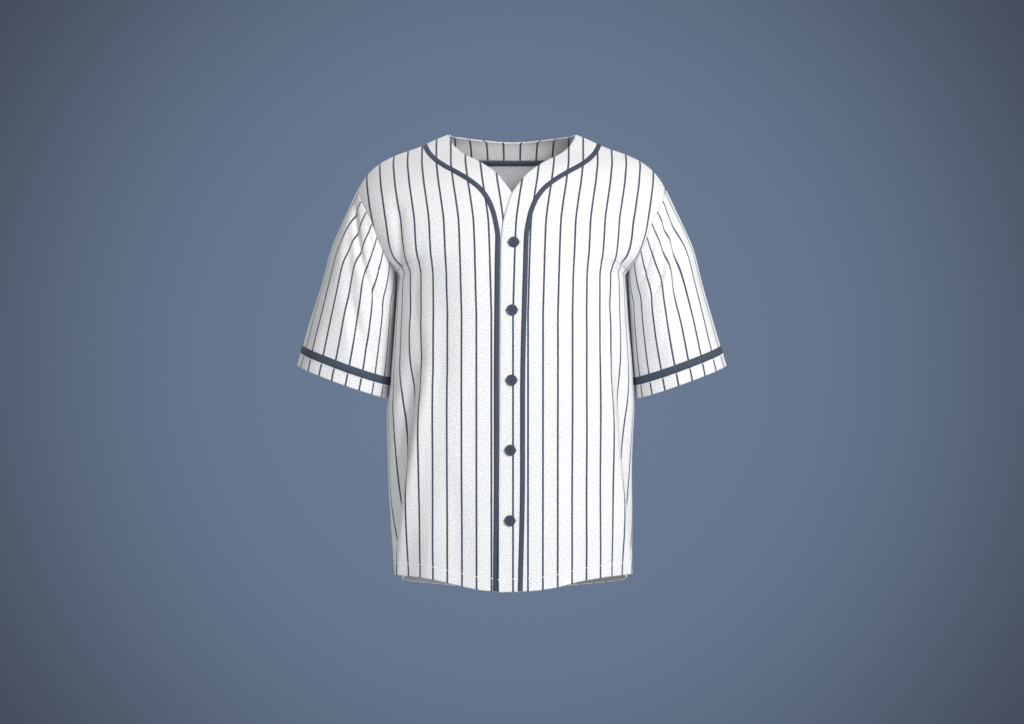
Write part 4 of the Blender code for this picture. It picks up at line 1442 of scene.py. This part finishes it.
@dataclass
class TapeStrip:
    """A flat tape sewn onto a panel: crowned across its width, its edges pressed down to the cloth."""

    name: str
    base: np.ndarray
    normals: np.ndarray
    replaced: str
    closed: bool = False
    lifts: tuple[float, ...] = (0.45 * MM, 1.15 * MM, 1.30 * MM, 1.15 * MM, 0.45 * MM)

    def build(self, finishes: Finishes) -> bpy.types.Object:
        lift = np.array(self.lifts)[None, :]
        outer = self.base + self.normals * lift[..., None]
        wall = np.broadcast_to(lift - LAY_GAP, outer.shape[:2]).copy()
        lengthwise = climb(outer)
        steps = np.linalg.norm(np.diff(outer, axis=1), axis=-1)
        across = np.concatenate([np.zeros((len(outer), 1)), np.cumsum(steps, axis=1)], axis=1)
        facing = outward(outer, 1)
        turn = 1 if float((facing * self.normals).sum()) > 0 else -1
        if self.closed:
            swapped = (np.swapaxes(grid, 0, 1) for grid in (outer, wall, across, lengthwise))
            outer, wall, across, lengthwise = swapped
            turn = -turn
        tape = Shell(
            self.name, outer, across, lengthwise, turn, [finishes.tape], wall, self.closed, edge_round=0.3
        ).build()
        return dress(tape, [self.replaced])

    def edge(self, column: int) -> tuple[np.ndarray, np.ndarray]:
        """Points and normals of a line along the tape's face, for stitches."""
        return self.base[:, column] + self.normals[:, column] * self.lifts[column], self.normals[:, column]


# Places of a tape's five columns across its width, as shares of half of it
TAPE_COLUMNS = np.array([-1.0, -0.82, 0.0, 0.82, 1.0])


def strip_along_rows(grid: np.ndarray, normals: np.ndarray, places: np.ndarray) -> tuple:
    """A strip that crosses a panel's rows.

    Args:
        grid: the panel's points.
        normals: its normals.
        places: distances of the strip's five columns from each row's start.

    Returns:
        Its points and normals, five to a row.
    """
    points, facing = [], []
    for row, normal, wanted in zip(grid, normals, places):
        run = along(row)
        points.append(np.stack([np.interp(wanted, run, row[:, k]) for k in range(3)], axis=-1))
        facing.append(np.stack([np.interp(wanted, run, normal[:, k]) for k in range(3)], axis=-1))
    return np.stack(points), unit(np.stack(facing))


@dataclass
class FrontPiping:
    """Navy tape down a front, from the shoulder seam to the hem."""

    panel: FrontPanel
    width: float = 8 * MM

    def places(self, row: np.ndarray) -> np.ndarray:
        """Distances of the tape's five columns from the start of a row of the panel."""
        column = "left_x" if self.panel.side is Side.LEFT else "right_x"
        z = row[:, 2]
        slope = (read(PIPING_LINE, column, z + MM) - read(PIPING_LINE, column, z - MM)) / (2 * MM)
        off_line = (self.panel.side.value * row[:, 0] - read(PIPING_LINE, column, z)) / np.sqrt(1 + slope**2)
        return np.interp(TAPE_COLUMNS * self.width / 2, off_line, along(row))

    def strip(self) -> TapeStrip:
        """The tape on its panel."""
        side = self.panel.side
        grid = self.panel.grid
        places = np.stack([self.places(row) for row in grid])
        points, normals = strip_along_rows(grid, outward(grid, side.value), places)
        name = "piping_left" if side is Side.LEFT else "piping_right"
        return TapeStrip(name + "_tape", points, normals, name)


@dataclass
class BackPiping:
    """Navy tape round the back of the neck, an oval in plan from one shoulder seam to the other."""

    back: BackPanel
    width: float = 8 * MM
    half_x: float = 0.1455
    reach_y: float = 0.090
    cells: int = 150

    def height(self, x: float, y: float) -> float:
        """Height of the back over a point of the plan, near the shoulders."""
        heights = np.linspace(NECK_POINT_Z, 2 * SHOULDER_TIP_Z, FINE)
        return float(np.interp(y, BodyForm().surface_y(np.full(FINE, x), heights, Face.BACK), heights))

    def strip(self) -> TapeStrip:
        """The tape on the back panel's own facets."""
        rows = self.back.grid[self.back.grid[:, self.back.half_columns, 2] > 2.5 * SHOULDER_TIP_Z]
        count, columns = rows.shape[:2]
        faces = [
            (i * columns + j, i * columns + j + 1, (i + 1) * columns + j + 1, (i + 1) * columns + j)
            for i in range(count - 1)
            for j in range(columns - 1)
        ]
        tree = BVHTree.FromPolygons([Vector(p) for p in rows.reshape(-1, 3)], faces)

        def nearest(points: np.ndarray) -> tuple[np.ndarray, np.ndarray]:
            """Nearest points of the panel and the normals there."""
            found = [tree.find_nearest(Vector(p)) for p in points]
            return np.array([f[0] for f in found]), np.array([f[1] for f in found])

        angles = np.linspace(-math.pi / 2, math.pi / 2, self.cells + 1)
        plan_x = self.half_x * np.sin(angles)
        plan_y = SECTIONS[-1].side_y + SEAM_GAP + self.reach_y * np.cos(angles)
        centre, normal = nearest(np.array([(x, y, self.height(x, y)) for x, y in zip(plan_x, plan_y)]))
        for _ in range(2):
            normal = unit(np.gradient(np.cumsum(normal, axis=0), axis=0))
        across = unit(np.cross(unit(np.gradient(centre, axis=0)), normal)) * self.width / 2
        strips = [nearest(centre + way * across) for way in TAPE_COLUMNS]
        points = np.stack([s[0] for s in strips], axis=1)
        normals = np.repeat(normal[:, None], len(TAPE_COLUMNS), axis=1)
        return TapeStrip("piping_back_tape", points, normals, "piping_back")


@dataclass
class SleeveBand:
    """Navy tape round a sleeve, above the cuff's hem."""

    sleeve: Sleeve
    width: float = 13 * MM
    above_cuff: float = 27.5 * MM

    def strip(self) -> TapeStrip:
        """The tape on its sleeve, a row for each of the sleeve's columns."""
        grid = self.sleeve.grid[::-1].swapaxes(0, 1)
        normals = outward(self.sleeve.grid, self.sleeve.side.value)
        normals[:, 0] = normals[:, -1] = unit(normals[:, 0] + normals[:, -1])
        normals = normals[::-1].swapaxes(0, 1)
        places = np.tile(self.above_cuff + TAPE_COLUMNS * self.width / 2, (len(grid), 1))
        points, facing = strip_along_rows(grid, normals, places)
        name = "sleeve_band_left" if self.sleeve.side is Side.LEFT else "sleeve_band_right"
        return TapeStrip(name + "_tape", points, facing, name, closed=True)


@dataclass
class BackNeck:
    """The facing inside the back of the neck and the tape on its lower edge, which lies level."""

    back: BackPanel
    tape_top: tuple[float, float] = (-0.0325, 0.040)
    tape_low: tuple[float, float] = (-0.0402, 0.0495)
    thick: float = 1.0 * MM
    rows: int = 14
    clear_share: float = 0.04

    def facing(self) -> tuple[np.ndarray, np.ndarray]:
        """The facing's points on the back, and the directions into the garment."""
        shares = np.linspace(1 - self.clear_share, 0, self.rows + 1)
        return self.back.neck_strip(shares, (None, 0.0), self.tape_top)

    def build(self, finishes: Finishes) -> tuple[bpy.types.Object, TapeStrip]:
        """Makes the facing, its striped face into the garment, and the tape below it."""
        points, inwards = self.facing()
        outer = points + inwards * (WALL + LAY_GAP + self.thick)
        middle = outer.shape[1] // 2
        run = along(outer[0])
        across = np.repeat((run - run[middle])[None, :], len(outer), axis=0)
        facing = Shell(
            "back_neck_facing_cloth",
            outer,
            across,
            climb(outer),
            -1,
            [finishes.facing_face, finishes.wrong_side],
            self.thick,
        ).build()
        dress(facing, ["back_neck_facing"])
        low, inwards = self.back.neck_strip((TAPE_COLUMNS + 1) / 2, self.tape_low, self.tape_top)
        strip = TapeStrip(
            "back_neck_tape_tape",
            (low + inwards * WALL).swapaxes(0, 1),
            inwards.swapaxes(0, 1),
            "back_neck_tape",
        )
        return facing, strip


@dataclass
class SeamRoll:
    """The cloth that shows at the bottom of a seam, between two panels."""

    name: str
    lines: np.ndarray
    closed: bool = False

    def build(self, finishes: Finishes, turn: int) -> bpy.types.Object:
        """Makes the roll from its lines of points, one for each of its edges and its middle."""
        roll = Shell(
            self.name,
            self.lines,
            np.full(self.lines.shape[:2], 0.5 * finishes_pitch()),
            climb(self.lines),
            turn,
            [finishes.wrong_side],
            0.5 * MM,
            self.closed,
        ).build()
        return dress(roll, [])


def finishes_pitch() -> float:
    """The stripes' pitch."""
    return DoubleKnit().pitch


def seam_rolls(sleeves: list[Sleeve], finishes: Finishes) -> list[bpy.types.Object]:
    """Makes the rolls of the side, shoulder and armhole seams.

    Args:
        sleeves: both sleeves.
        finishes: the garment's materials.

    Returns:
        The rolls.
    """
    made = []
    sunk, deep, tucked = 0.5 * MM, 0.9 * MM, 0.3 * MM
    for sleeve in sleeves:
        side, word = sleeve.side, sleeve.side.name.lower()
        z = np.linspace(SIDE_HEM_Z, UNDERARM_Z, 140)
        x = side.value * (read(SECTIONS, "half_width", z)) + read(SECTIONS, "shift", z)
        y = read(SECTIONS, "side_y", z)
        lines = [(-SEAM_GAP * 0.8, sunk), (0.0, deep), (SEAM_GAP * 0.8, sunk)]
        rows = [np.stack([x - side.value * drop, y + step, z], axis=-1) for step, drop in lines]
        grid = np.stack(rows, axis=1)
        made.append(SeamRoll(f"side_seam_{word}", grid).build(finishes, side.value))
        x, z = BodyForm().shoulder_line(np.linspace(0, 1, 90))
        slope = unit(np.stack([np.gradient(x), np.gradient(z)], axis=-1))
        y = read(SECTIONS, "side_y", z)
        grid = np.stack(
            [
                np.stack([side.value * (x + slope[:, 1] * drop), y + step, z - slope[:, 0] * drop], axis=-1)
                for step, drop in lines
            ],
            axis=1,
        )
        made.append(SeamRoll(f"shoulder_seam_{word}", grid).build(finishes, -side.value))
        seam, away = sleeve.seam_line()
        normal = outward(sleeve.grid, side.value)[2]
        normal[0] = normal[-1] = unit(normal[0] + normal[-1])
        first = sleeve.grid[0]
        grid = np.stack(
            [
                seam - away * tucked - normal * sunk,
                (seam + first) / 2 - normal * deep,
                first + away * tucked - normal * sunk,
            ]
        )
        made.append(SeamRoll(f"armhole_seam_{word}", grid, closed=True).build(finishes, side.value))
    return made


@dataclass
class Stitches:
    """A row of lockstitches: short raised lengths of thread that dip into the cloth at both ends."""

    name: str
    thread_radius: float = 0.28 * MM
    pitch: float = 3.4 * MM
    length: float = 2.7 * MM
    sides: int = 6
    starts: list[np.ndarray] = field(default_factory=list)
    ends: list[np.ndarray] = field(default_factory=list)
    ups: list[np.ndarray] = field(default_factory=list)

    def follow(self, points: np.ndarray, normals: np.ndarray) -> None:
        """Adds stitches along a line on the cloth.

        Args:
            points: the line.
            normals: directions off the cloth.
        """
        run = along(points)
        count = int(run[-1] // self.pitch)
        at = (np.arange(count) + 0.5) * run[-1] / count
        for gap, kept in ((-self.length / 2, self.starts), (self.length / 2, self.ends)):
            kept.append(at_lengths(points, at + gap))
        self.ups.append(np.stack([np.interp(at, run, normals[:, k]) for k in range(3)], axis=-1))

    def single(self, start: np.ndarray, end: np.ndarray, up: np.ndarray) -> None:
        """Adds one length of thread."""
        self.starts.append(np.array([start]))
        self.ends.append(np.array([end]))
        self.ups.append(np.array([up]))

    def build(self, material: bpy.types.Material, slot: Slot) -> bpy.types.Object:
        """Makes all the stitches as one piece."""
        start, end = np.concatenate(self.starts), np.concatenate(self.ends)
        up = unit(np.concatenate(self.ups))
        side = unit(np.cross(end - start, up))
        stages = ((0.0, -0.5, 0.35), (0.22, 0.75, 1.0), (0.78, 0.75, 1.0), (1.0, -0.5, 0.35))
        angles = np.linspace(0, 2 * math.pi, self.sides, endpoint=False)
        rings = []
        for share, lift, size in stages:
            centre = start + (end - start) * share + up * lift * self.thread_radius
            ring = [
                centre + (side * math.cos(a) + up * math.sin(a)) * self.thread_radius * size for a in angles
            ]
            rings.append(np.stack(ring, axis=1))
        points = np.stack(rings, axis=1)
        count, stages_made, sides = points.shape[:3]
        faces = []
        for s in range(count):
            base = s * stages_made * sides
            for k in range(stages_made - 1):
                for j in range(sides):
                    a, b = base + k * sides + j, base + k * sides + (j + 1) % sides
                    faces.append((a, b, b + sides, a + sides))
            faces.append(tuple(base + j for j in range(sides - 1, -1, -1)))
            faces.append(tuple(base + (stages_made - 1) * sides + j for j in range(sides)))
        mesh = bpy.data.meshes.new(self.name)
        mesh.from_pydata(points.reshape(-1, 3).tolist(), [], faces)
        mesh.materials.append(material)
        mesh.shade_smooth()
        obj = bpy.data.objects.new(self.name, mesh)
        bpy.context.scene.collection.objects.link(obj)
        return dress(obj, [])


def line_at(grid: np.ndarray, distance: np.ndarray, wanted: float, normals: np.ndarray) -> tuple:
    """The line on a panel at one distance along its columns.

    Args:
        grid: the panel's points.
        distance: each point's distance, rising or falling along every column.
        wanted: the distance to follow.
        normals: the panel's normals.

    Returns:
        The line's points and normals, one for each column.
    """
    points, facing = [], []
    for j in range(grid.shape[1]):
        run = distance[:, j]
        order = np.argsort(run)
        points.append([np.interp(wanted, run[order], grid[order, j, k]) for k in range(3)])
        facing.append([np.interp(wanted, run[order], normals[order, j, k]) for k in range(3)])
    return np.array(points), np.array(facing)


@dataclass(frozen=True)
class ButtonPlace:
    """A button's centre in the front view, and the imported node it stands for."""

    name: str
    x: float
    z: float


BUTTONS = (
    ButtonPlace("button_1", 0.0026, -0.186),
    ButtonPlace("button_2", 0.0000, -0.295),
    ButtonPlace("button_3", -0.0008, -0.407),
    ButtonPlace("button_4", -0.0027, -0.519),
    ButtonPlace("button_5", -0.0034, -0.632),
)


@dataclass
class Button:
    """A two-hole shirt button with a raised rim, and the buttonhole and thread that hold it."""

    place: ButtonPlace
    radius: float = 9.0 * MM
    thick: float = 2.8 * MM
    rim_width: float = 1.8 * MM
    rim_height: float = 0.6 * MM
    hole_radius: float = 0.95 * MM
    holes_apart: float = 3.6 * MM
    segments: int = 72
    buttonhole_length: float = 21.5 * MM
    buttonhole_half: float = 2.5 * MM
    stroke_pitch: float = 0.55 * MM

    def seat(self) -> Matrix:
        """Where the button lies: its back on the front, its face outwards."""
        form = BodyForm()
        heights = np.array([0.0, self.radius, -self.radius]) + self.place.z
        y = form.surface_y(np.full(3, self.place.x), heights, Face.FRONT)
        lean = math.atan2(float(y[1] - y[2]), 2 * self.radius)
        seat = Matrix.Translation((self.place.x, float(y[0]) - LAY_GAP, self.place.z))
        return seat @ Matrix.Rotation(math.pi / 2 - lean, 4, "X")

    def profile(self) -> list[tuple[float, float]]:
        """Half of the button's section, from the middle of its face round to the middle of its back."""
        dish = self.thick - self.rim_height
        inner = self.radius - self.rim_width
        face = [(0.0, dish - 0.1 * MM), (inner * 0.5, dish - 0.05 * MM), (inner * 0.92, dish)]
        rim = [
            (inner + self.rim_width * (0.5 - 0.5 * math.cos(a)), dish + self.rim_height * math.sin(a))
            for a in np.linspace(0, math.pi * 0.55, 6)
        ]
        outer = [
            (self.radius * (0.90 + 0.10 * math.cos(a)), self.thick * (0.42 + 0.42 * math.sin(a)))
            for a in np.linspace(math.pi * 0.35, -math.pi / 2, 7)
        ]
        return [*face, *rim, *outer, (0.0, 0.0)]

    def build(self, finishes: Finishes) -> bpy.types.Object:
        """Turns the profile, cuts the holes and seats the button."""
        bm = bmesh.new()
        spine = [bm.verts.new((x, 0.0, z)) for x, z in self.profile()]
        edges = [bm.edges.new(pair) for pair in zip(spine, spine[1:])]
        bmesh.ops.spin(
            bm, geom=spine + edges, cent=(0, 0, 0), axis=(0, 0, 1), angle=2 * math.pi, steps=self.segments
        )
        bmesh.ops.remove_doubles(bm, verts=bm.verts, dist=0.01 * MM)
        bmesh.ops.recalc_face_normals(bm, faces=bm.faces)
        mesh = bpy.data.meshes.new(self.place.name)
        bm.to_mesh(mesh)
        bm.free()
        mesh.materials.append(finishes.resin)
        button = bpy.data.objects.new(self.place.name + "_resin", mesh)
        bpy.context.scene.collection.objects.link(button)
        cutters = []
        for way in (-1, 1):
            bm = bmesh.new()
            bmesh.ops.create_cone(
                bm,
                cap_ends=True,
                segments=20,
                radius1=self.hole_radius,
                radius2=self.hole_radius,
                depth=4 * self.thick,
                matrix=Matrix.Translation((0, way * self.holes_apart / 2, 0)),
            )
            hole = bpy.data.meshes.new("hole")
            bm.to_mesh(hole)
            bm.free()
            cutter = bpy.data.objects.new("hole", hole)
            bpy.context.scene.collection.objects.link(cutter)
            cutters.append(cutter)
            cut = button.modifiers.new("hole", "BOOLEAN")
            cut.object = cutter
            cut.operation = "DIFFERENCE"
        bpy.context.view_layer.update()
        solid = bpy.data.meshes.new_from_object(button.evaluated_get(bpy.context.evaluated_depsgraph_get()))
        button.modifiers.clear()
        button.data = solid
        for cutter in cutters:
            bpy.data.objects.remove(cutter, do_unlink=True)
        solid.shade_smooth()
        solid.set_sharp_from_angle(angle=math.radians(40))
        button.matrix_world = self.seat()
        return dress(button, [self.place.name])

    def sew(self, threads: Stitches, buttonholes: Stitches) -> None:
        """Adds the thread through the holes and the buttonhole's stitches.

        Args:
            threads: takes the thread that holds the button.
            buttonholes: takes the strokes round the buttonhole.
        """
        seat = self.seat()
        up = np.array(seat.to_3x3() @ Vector((0, 0, 1)))
        dish = self.thick - self.rim_height
        for x in (-0.35 * MM, 0.0, 0.35 * MM):
            ends = [
                np.array(seat @ Vector((x, way * (self.holes_apart / 2 + 0.1 * MM), dish - 0.1 * MM)))
                for way in (-1, 1)
            ]
            threads.single(ends[0], ends[1], up)
        half = self.buttonhole_length / 2
        count = int(self.buttonhole_length / self.stroke_pitch)
        for k in range(count + 1):
            x = -half + k * self.buttonhole_length / count
            reach = self.buttonhole_half * (1 - abs(x / half) ** 1.6) + 0.35 * MM
            for way in (-1, 1):
                start = np.array(seat @ Vector((x, way * 0.15 * MM, LAY_GAP * 0.9)))
                end = np.array(seat @ Vector((x, way * reach, LAY_GAP * 0.9)))
                buttonholes.single(start, end, up)


@dataclass
class Studio:
    """Camera, lights, backdrop and floor of a plain studio."""

    camera_place: tuple[float, float, float] = (0.0, -3.2, -0.378)
    lens: float = 67.5
    sensor: float = 36.0
    floor_z: float = -1.45
    floor_radius: float = 2.4
    # Painted light: the backdrop is brighter in its middle and darker towards its edges, like a lamp's pool.
    backdrop_painted_bright_middle: str = "#6a7a92"
    backdrop_painted_dark_edge: str = "#444d5c"
    ambient: float = 0.30

    def camera(self) -> None:
        """A level camera at the photograph's angle, square to the chest."""
        data = bpy.data.cameras.new("photo_camera")
        data.lens, data.sensor_width = self.lens, self.sensor
        camera = bpy.data.objects.new("photo_camera", data)
        camera.location = self.camera_place
        camera.rotation_euler = (math.pi / 2, 0.0, 0.0)
        bpy.context.scene.collection.objects.link(camera)
        bpy.context.scene.camera = camera

    def light(self, name: str, place: tuple, size: float, power: float) -> None:
        """A square soft box aimed at the jersey.

        Args:
            name: the light's name.
            place: where it hangs.
            size: its side in metres.
            power: its power in watts.
        """
        data = bpy.data.lights.new(name, "AREA")
        data.size, data.energy = size, power
        lamp = bpy.data.objects.new(name, data)
        lamp.location = place
        aim = Vector((0, 0, self.camera_place[2])) - Vector(place)
        lamp.rotation_euler = aim.to_track_quat("-Z", "Y").to_euler()
        bpy.context.scene.collection.objects.link(lamp)

    def backdrop(self) -> None:
        """World light: plain and neutral on the cloth; behind it, a blue-grey backdrop with a painted pool of
        light.
        """
        world = bpy.data.worlds.new("studio")
        bpy.context.scene.world = world
        world.use_nodes = True
        tree = world.node_tree
        tree.nodes.clear()
        where = add_node(tree, "ShaderNodeTexCoord")
        parts = add_node(tree, "ShaderNodeSeparateXYZ", links={0: where.outputs["Generated"]})
        turn = add_node(
            tree,
            "ShaderNodeMath",
            {"operation": "ARCTAN2"},
            links={0: parts.outputs["X"], 1: parts.outputs["Y"]},
        )
        beside = add_node(
            tree, "ShaderNodeMath", {"operation": "PINGPONG"}, {1: math.pi / 8}, {0: turn.outputs[0]}
        )
        wide = add_node(tree, "ShaderNodeMath", {"operation": "POWER"}, {1: 2.0}, {0: beside.outputs[0]})
        high = add_node(tree, "ShaderNodeMath", {"operation": "POWER"}, {1: 2.0}, {0: parts.outputs["Z"]})
        total = add_node(
            tree, "ShaderNodeMath", {"operation": "ADD"}, links={0: wide.outputs[0], 1: high.outputs[0]}
        )
        # Painted pool of light: the backdrop darkens away from its middle.
        fade = add_node(
            tree,
            "ShaderNodeMapRange",
            {"interpolation_type": "SMOOTHSTEP"},
            {"From Min": 0.0, "From Max": math.radians(19) ** 2},
            {"Value": total.outputs[0]},
        )
        colour = add_node(
            tree,
            "ShaderNodeMix",
            {"data_type": "RGBA"},
            {"A": linear(self.backdrop_painted_bright_middle), "B": linear(self.backdrop_painted_dark_edge)},
            {"Factor": fade.outputs[0]},
        )
        seen = add_node(tree, "ShaderNodeBackground", links={"Color": colour.outputs["Result"]})
        lit = add_node(
            tree, "ShaderNodeBackground", values={"Color": (1.0, 1.0, 1.0, 1.0), "Strength": self.ambient}
        )
        path = add_node(tree, "ShaderNodeLightPath")
        both = add_node(
            tree,
            "ShaderNodeMixShader",
            links={0: path.outputs["Is Camera Ray"], 1: lit.outputs[0], 2: seen.outputs[0]},
        )
        add_node(tree, "ShaderNodeOutputWorld", links={"Surface": both.outputs[0]})

    def floor(self) -> None:
        """A round pale floor, far below the jersey as if a wearer stood on it."""
        bm = bmesh.new()
        bmesh.ops.create_circle(bm, cap_ends=True, segments=128, radius=self.floor_radius)
        mesh = bpy.data.meshes.new("floor")
        bm.to_mesh(mesh)
        bm.free()
        material, tree, shader = new_material("matt_floor_paint", {"Roughness": 0.9})
        where = add_node(tree, "ShaderNodeTexCoord")
        clouds = add_node(
            tree,
            "ShaderNodeTexNoise",
            values={"Scale": 3.0, "Detail": 3.0},
            links={"Vector": where.outputs["Object"]},
        )
        tone = add_node(
            tree,
            "ShaderNodeMix",
            {"data_type": "RGBA"},
            {"A": linear("#c9ccd2"), "B": linear("#d6d9de")},
            {"Factor": clouds.outputs[0]},
        )
        tree.links.new(tone.outputs["Result"], shader.inputs["Base Color"])
        mesh.materials.append(material)
        floor = bpy.data.objects.new("floor", mesh)
        floor.location = (0, 0, self.floor_z)
        bpy.context.scene.collection.objects.link(floor)

    def build(self) -> None:
        """Sets the whole studio up."""
        bpy.context.scene.view_settings.view_transform = "Standard"
        self.camera()
        self.backdrop()
        self.floor()
        self.light("key_soft_box", (1.9, -2.9, 1.1), 1.3, 128.0)
        self.light("fill_soft_box", (-1.4, -3.4, 0.1), 1.4, 22.0)
        self.light("back_soft_box", (-1.2, 2.8, 1.4), 2.0, 60.0)


def make_finishes() -> Finishes:
    """Every finish of the garment."""
    return Finishes(
        face=DoubleKnit().material(),
        facing_face=DoubleKnit(name="double_knit_facing", pitch=27.7 * MM, first=13.85 * MM).material(),
        # The wrong side's greyer ground is painted shade: it stands for the shade inside the garment.
        wrong_side=DoubleKnit(name="double_knit_wrong_side_painted_shade", ground="#d4d4d7", width=0.0).material(),
        tape=TwillTape().material(),
        resin=MouldedResin().material(),
        white_thread=SewingThread("white_spun_polyester_thread", "#fbfbfb", "#e4e4e6").material(),
        navy_thread=SewingThread("navy_spun_polyester_thread", "#3a4558", "#2a3343").material(),
    )


def main() -> None:
    """Builds the garment's sub-assemblies in order, then the studio."""
    logging.basicConfig(level=logging.INFO, format="%(name)s %(message)s")
    finishes = make_finishes()
    fronts = [FrontPanel(Side.LEFT, 11), FrontPanel(Side.RIGHT, 12)]
    back = BackPanel()
    sleeves = [Sleeve(Side.LEFT, 21), Sleeve(Side.RIGHT, 22)]
    pieces = (*fronts, back, *sleeves)
    panels = [piece.build(finishes) for piece in pieces]
    back_neck = BackNeck(back)
    facing, neck_tape = back_neck.build(finishes)
    strips = [FrontPiping(front).strip() for front in fronts]
    strips += [BackPiping(back).strip(), neck_tape]
    strips += [SleeveBand(sleeve).strip() for sleeve in sleeves]
    tapes = [strip.build(finishes) for strip in strips]
    rolls = seam_rolls(sleeves, finishes)
    tape_stitches = Stitches("tape_edge_stitching", thread_radius=0.2 * MM)
    for strip in strips:
        for column in (1, 3):
            tape_stitches.follow(*strip.edge(column))
    sewn = tape_stitches.build(finishes.navy_thread, Slot.TAPE)
    hem_stitches = Stitches("hem_stitching", thread_radius=0.70 * MM)
    for front in fronts:
        normals = outward(front.grid, front.side.value)
        hem_stitches.follow(*line_at(front.grid, climb(front.grid), HEM_DEPTH, normals))
    hem_stitches.follow(*line_at(back.grid, climb(back.grid), HEM_DEPTH, outward(back.grid, 1)))
    for sleeve in sleeves:
        normals = outward(sleeve.grid, sleeve.side.value)
        hem_stitches.follow(*line_at(sleeve.grid, sleeve.from_cuff(), HEM_DEPTH - 0.5 * MM, normals))
    hem = hem_stitches.build(finishes.white_thread, Slot.CLOTH)
    back_neck.facing()[0]
    button_threads = Stitches("button_threads", thread_radius=0.22 * MM)
    buttonholes = Stitches("buttonhole_stitching", thread_radius=0.34 * MM)
    for place in BUTTONS:
        button = Button(place)
        button.build(finishes)
        button.sew(button_threads, buttonholes)
    button_threads.build(finishes.navy_thread, Slot.TAPE)
    buttonholes.build(finishes.navy_thread, Slot.TAPE)
    Studio().build()


if __name__ == "__main__":
    main()
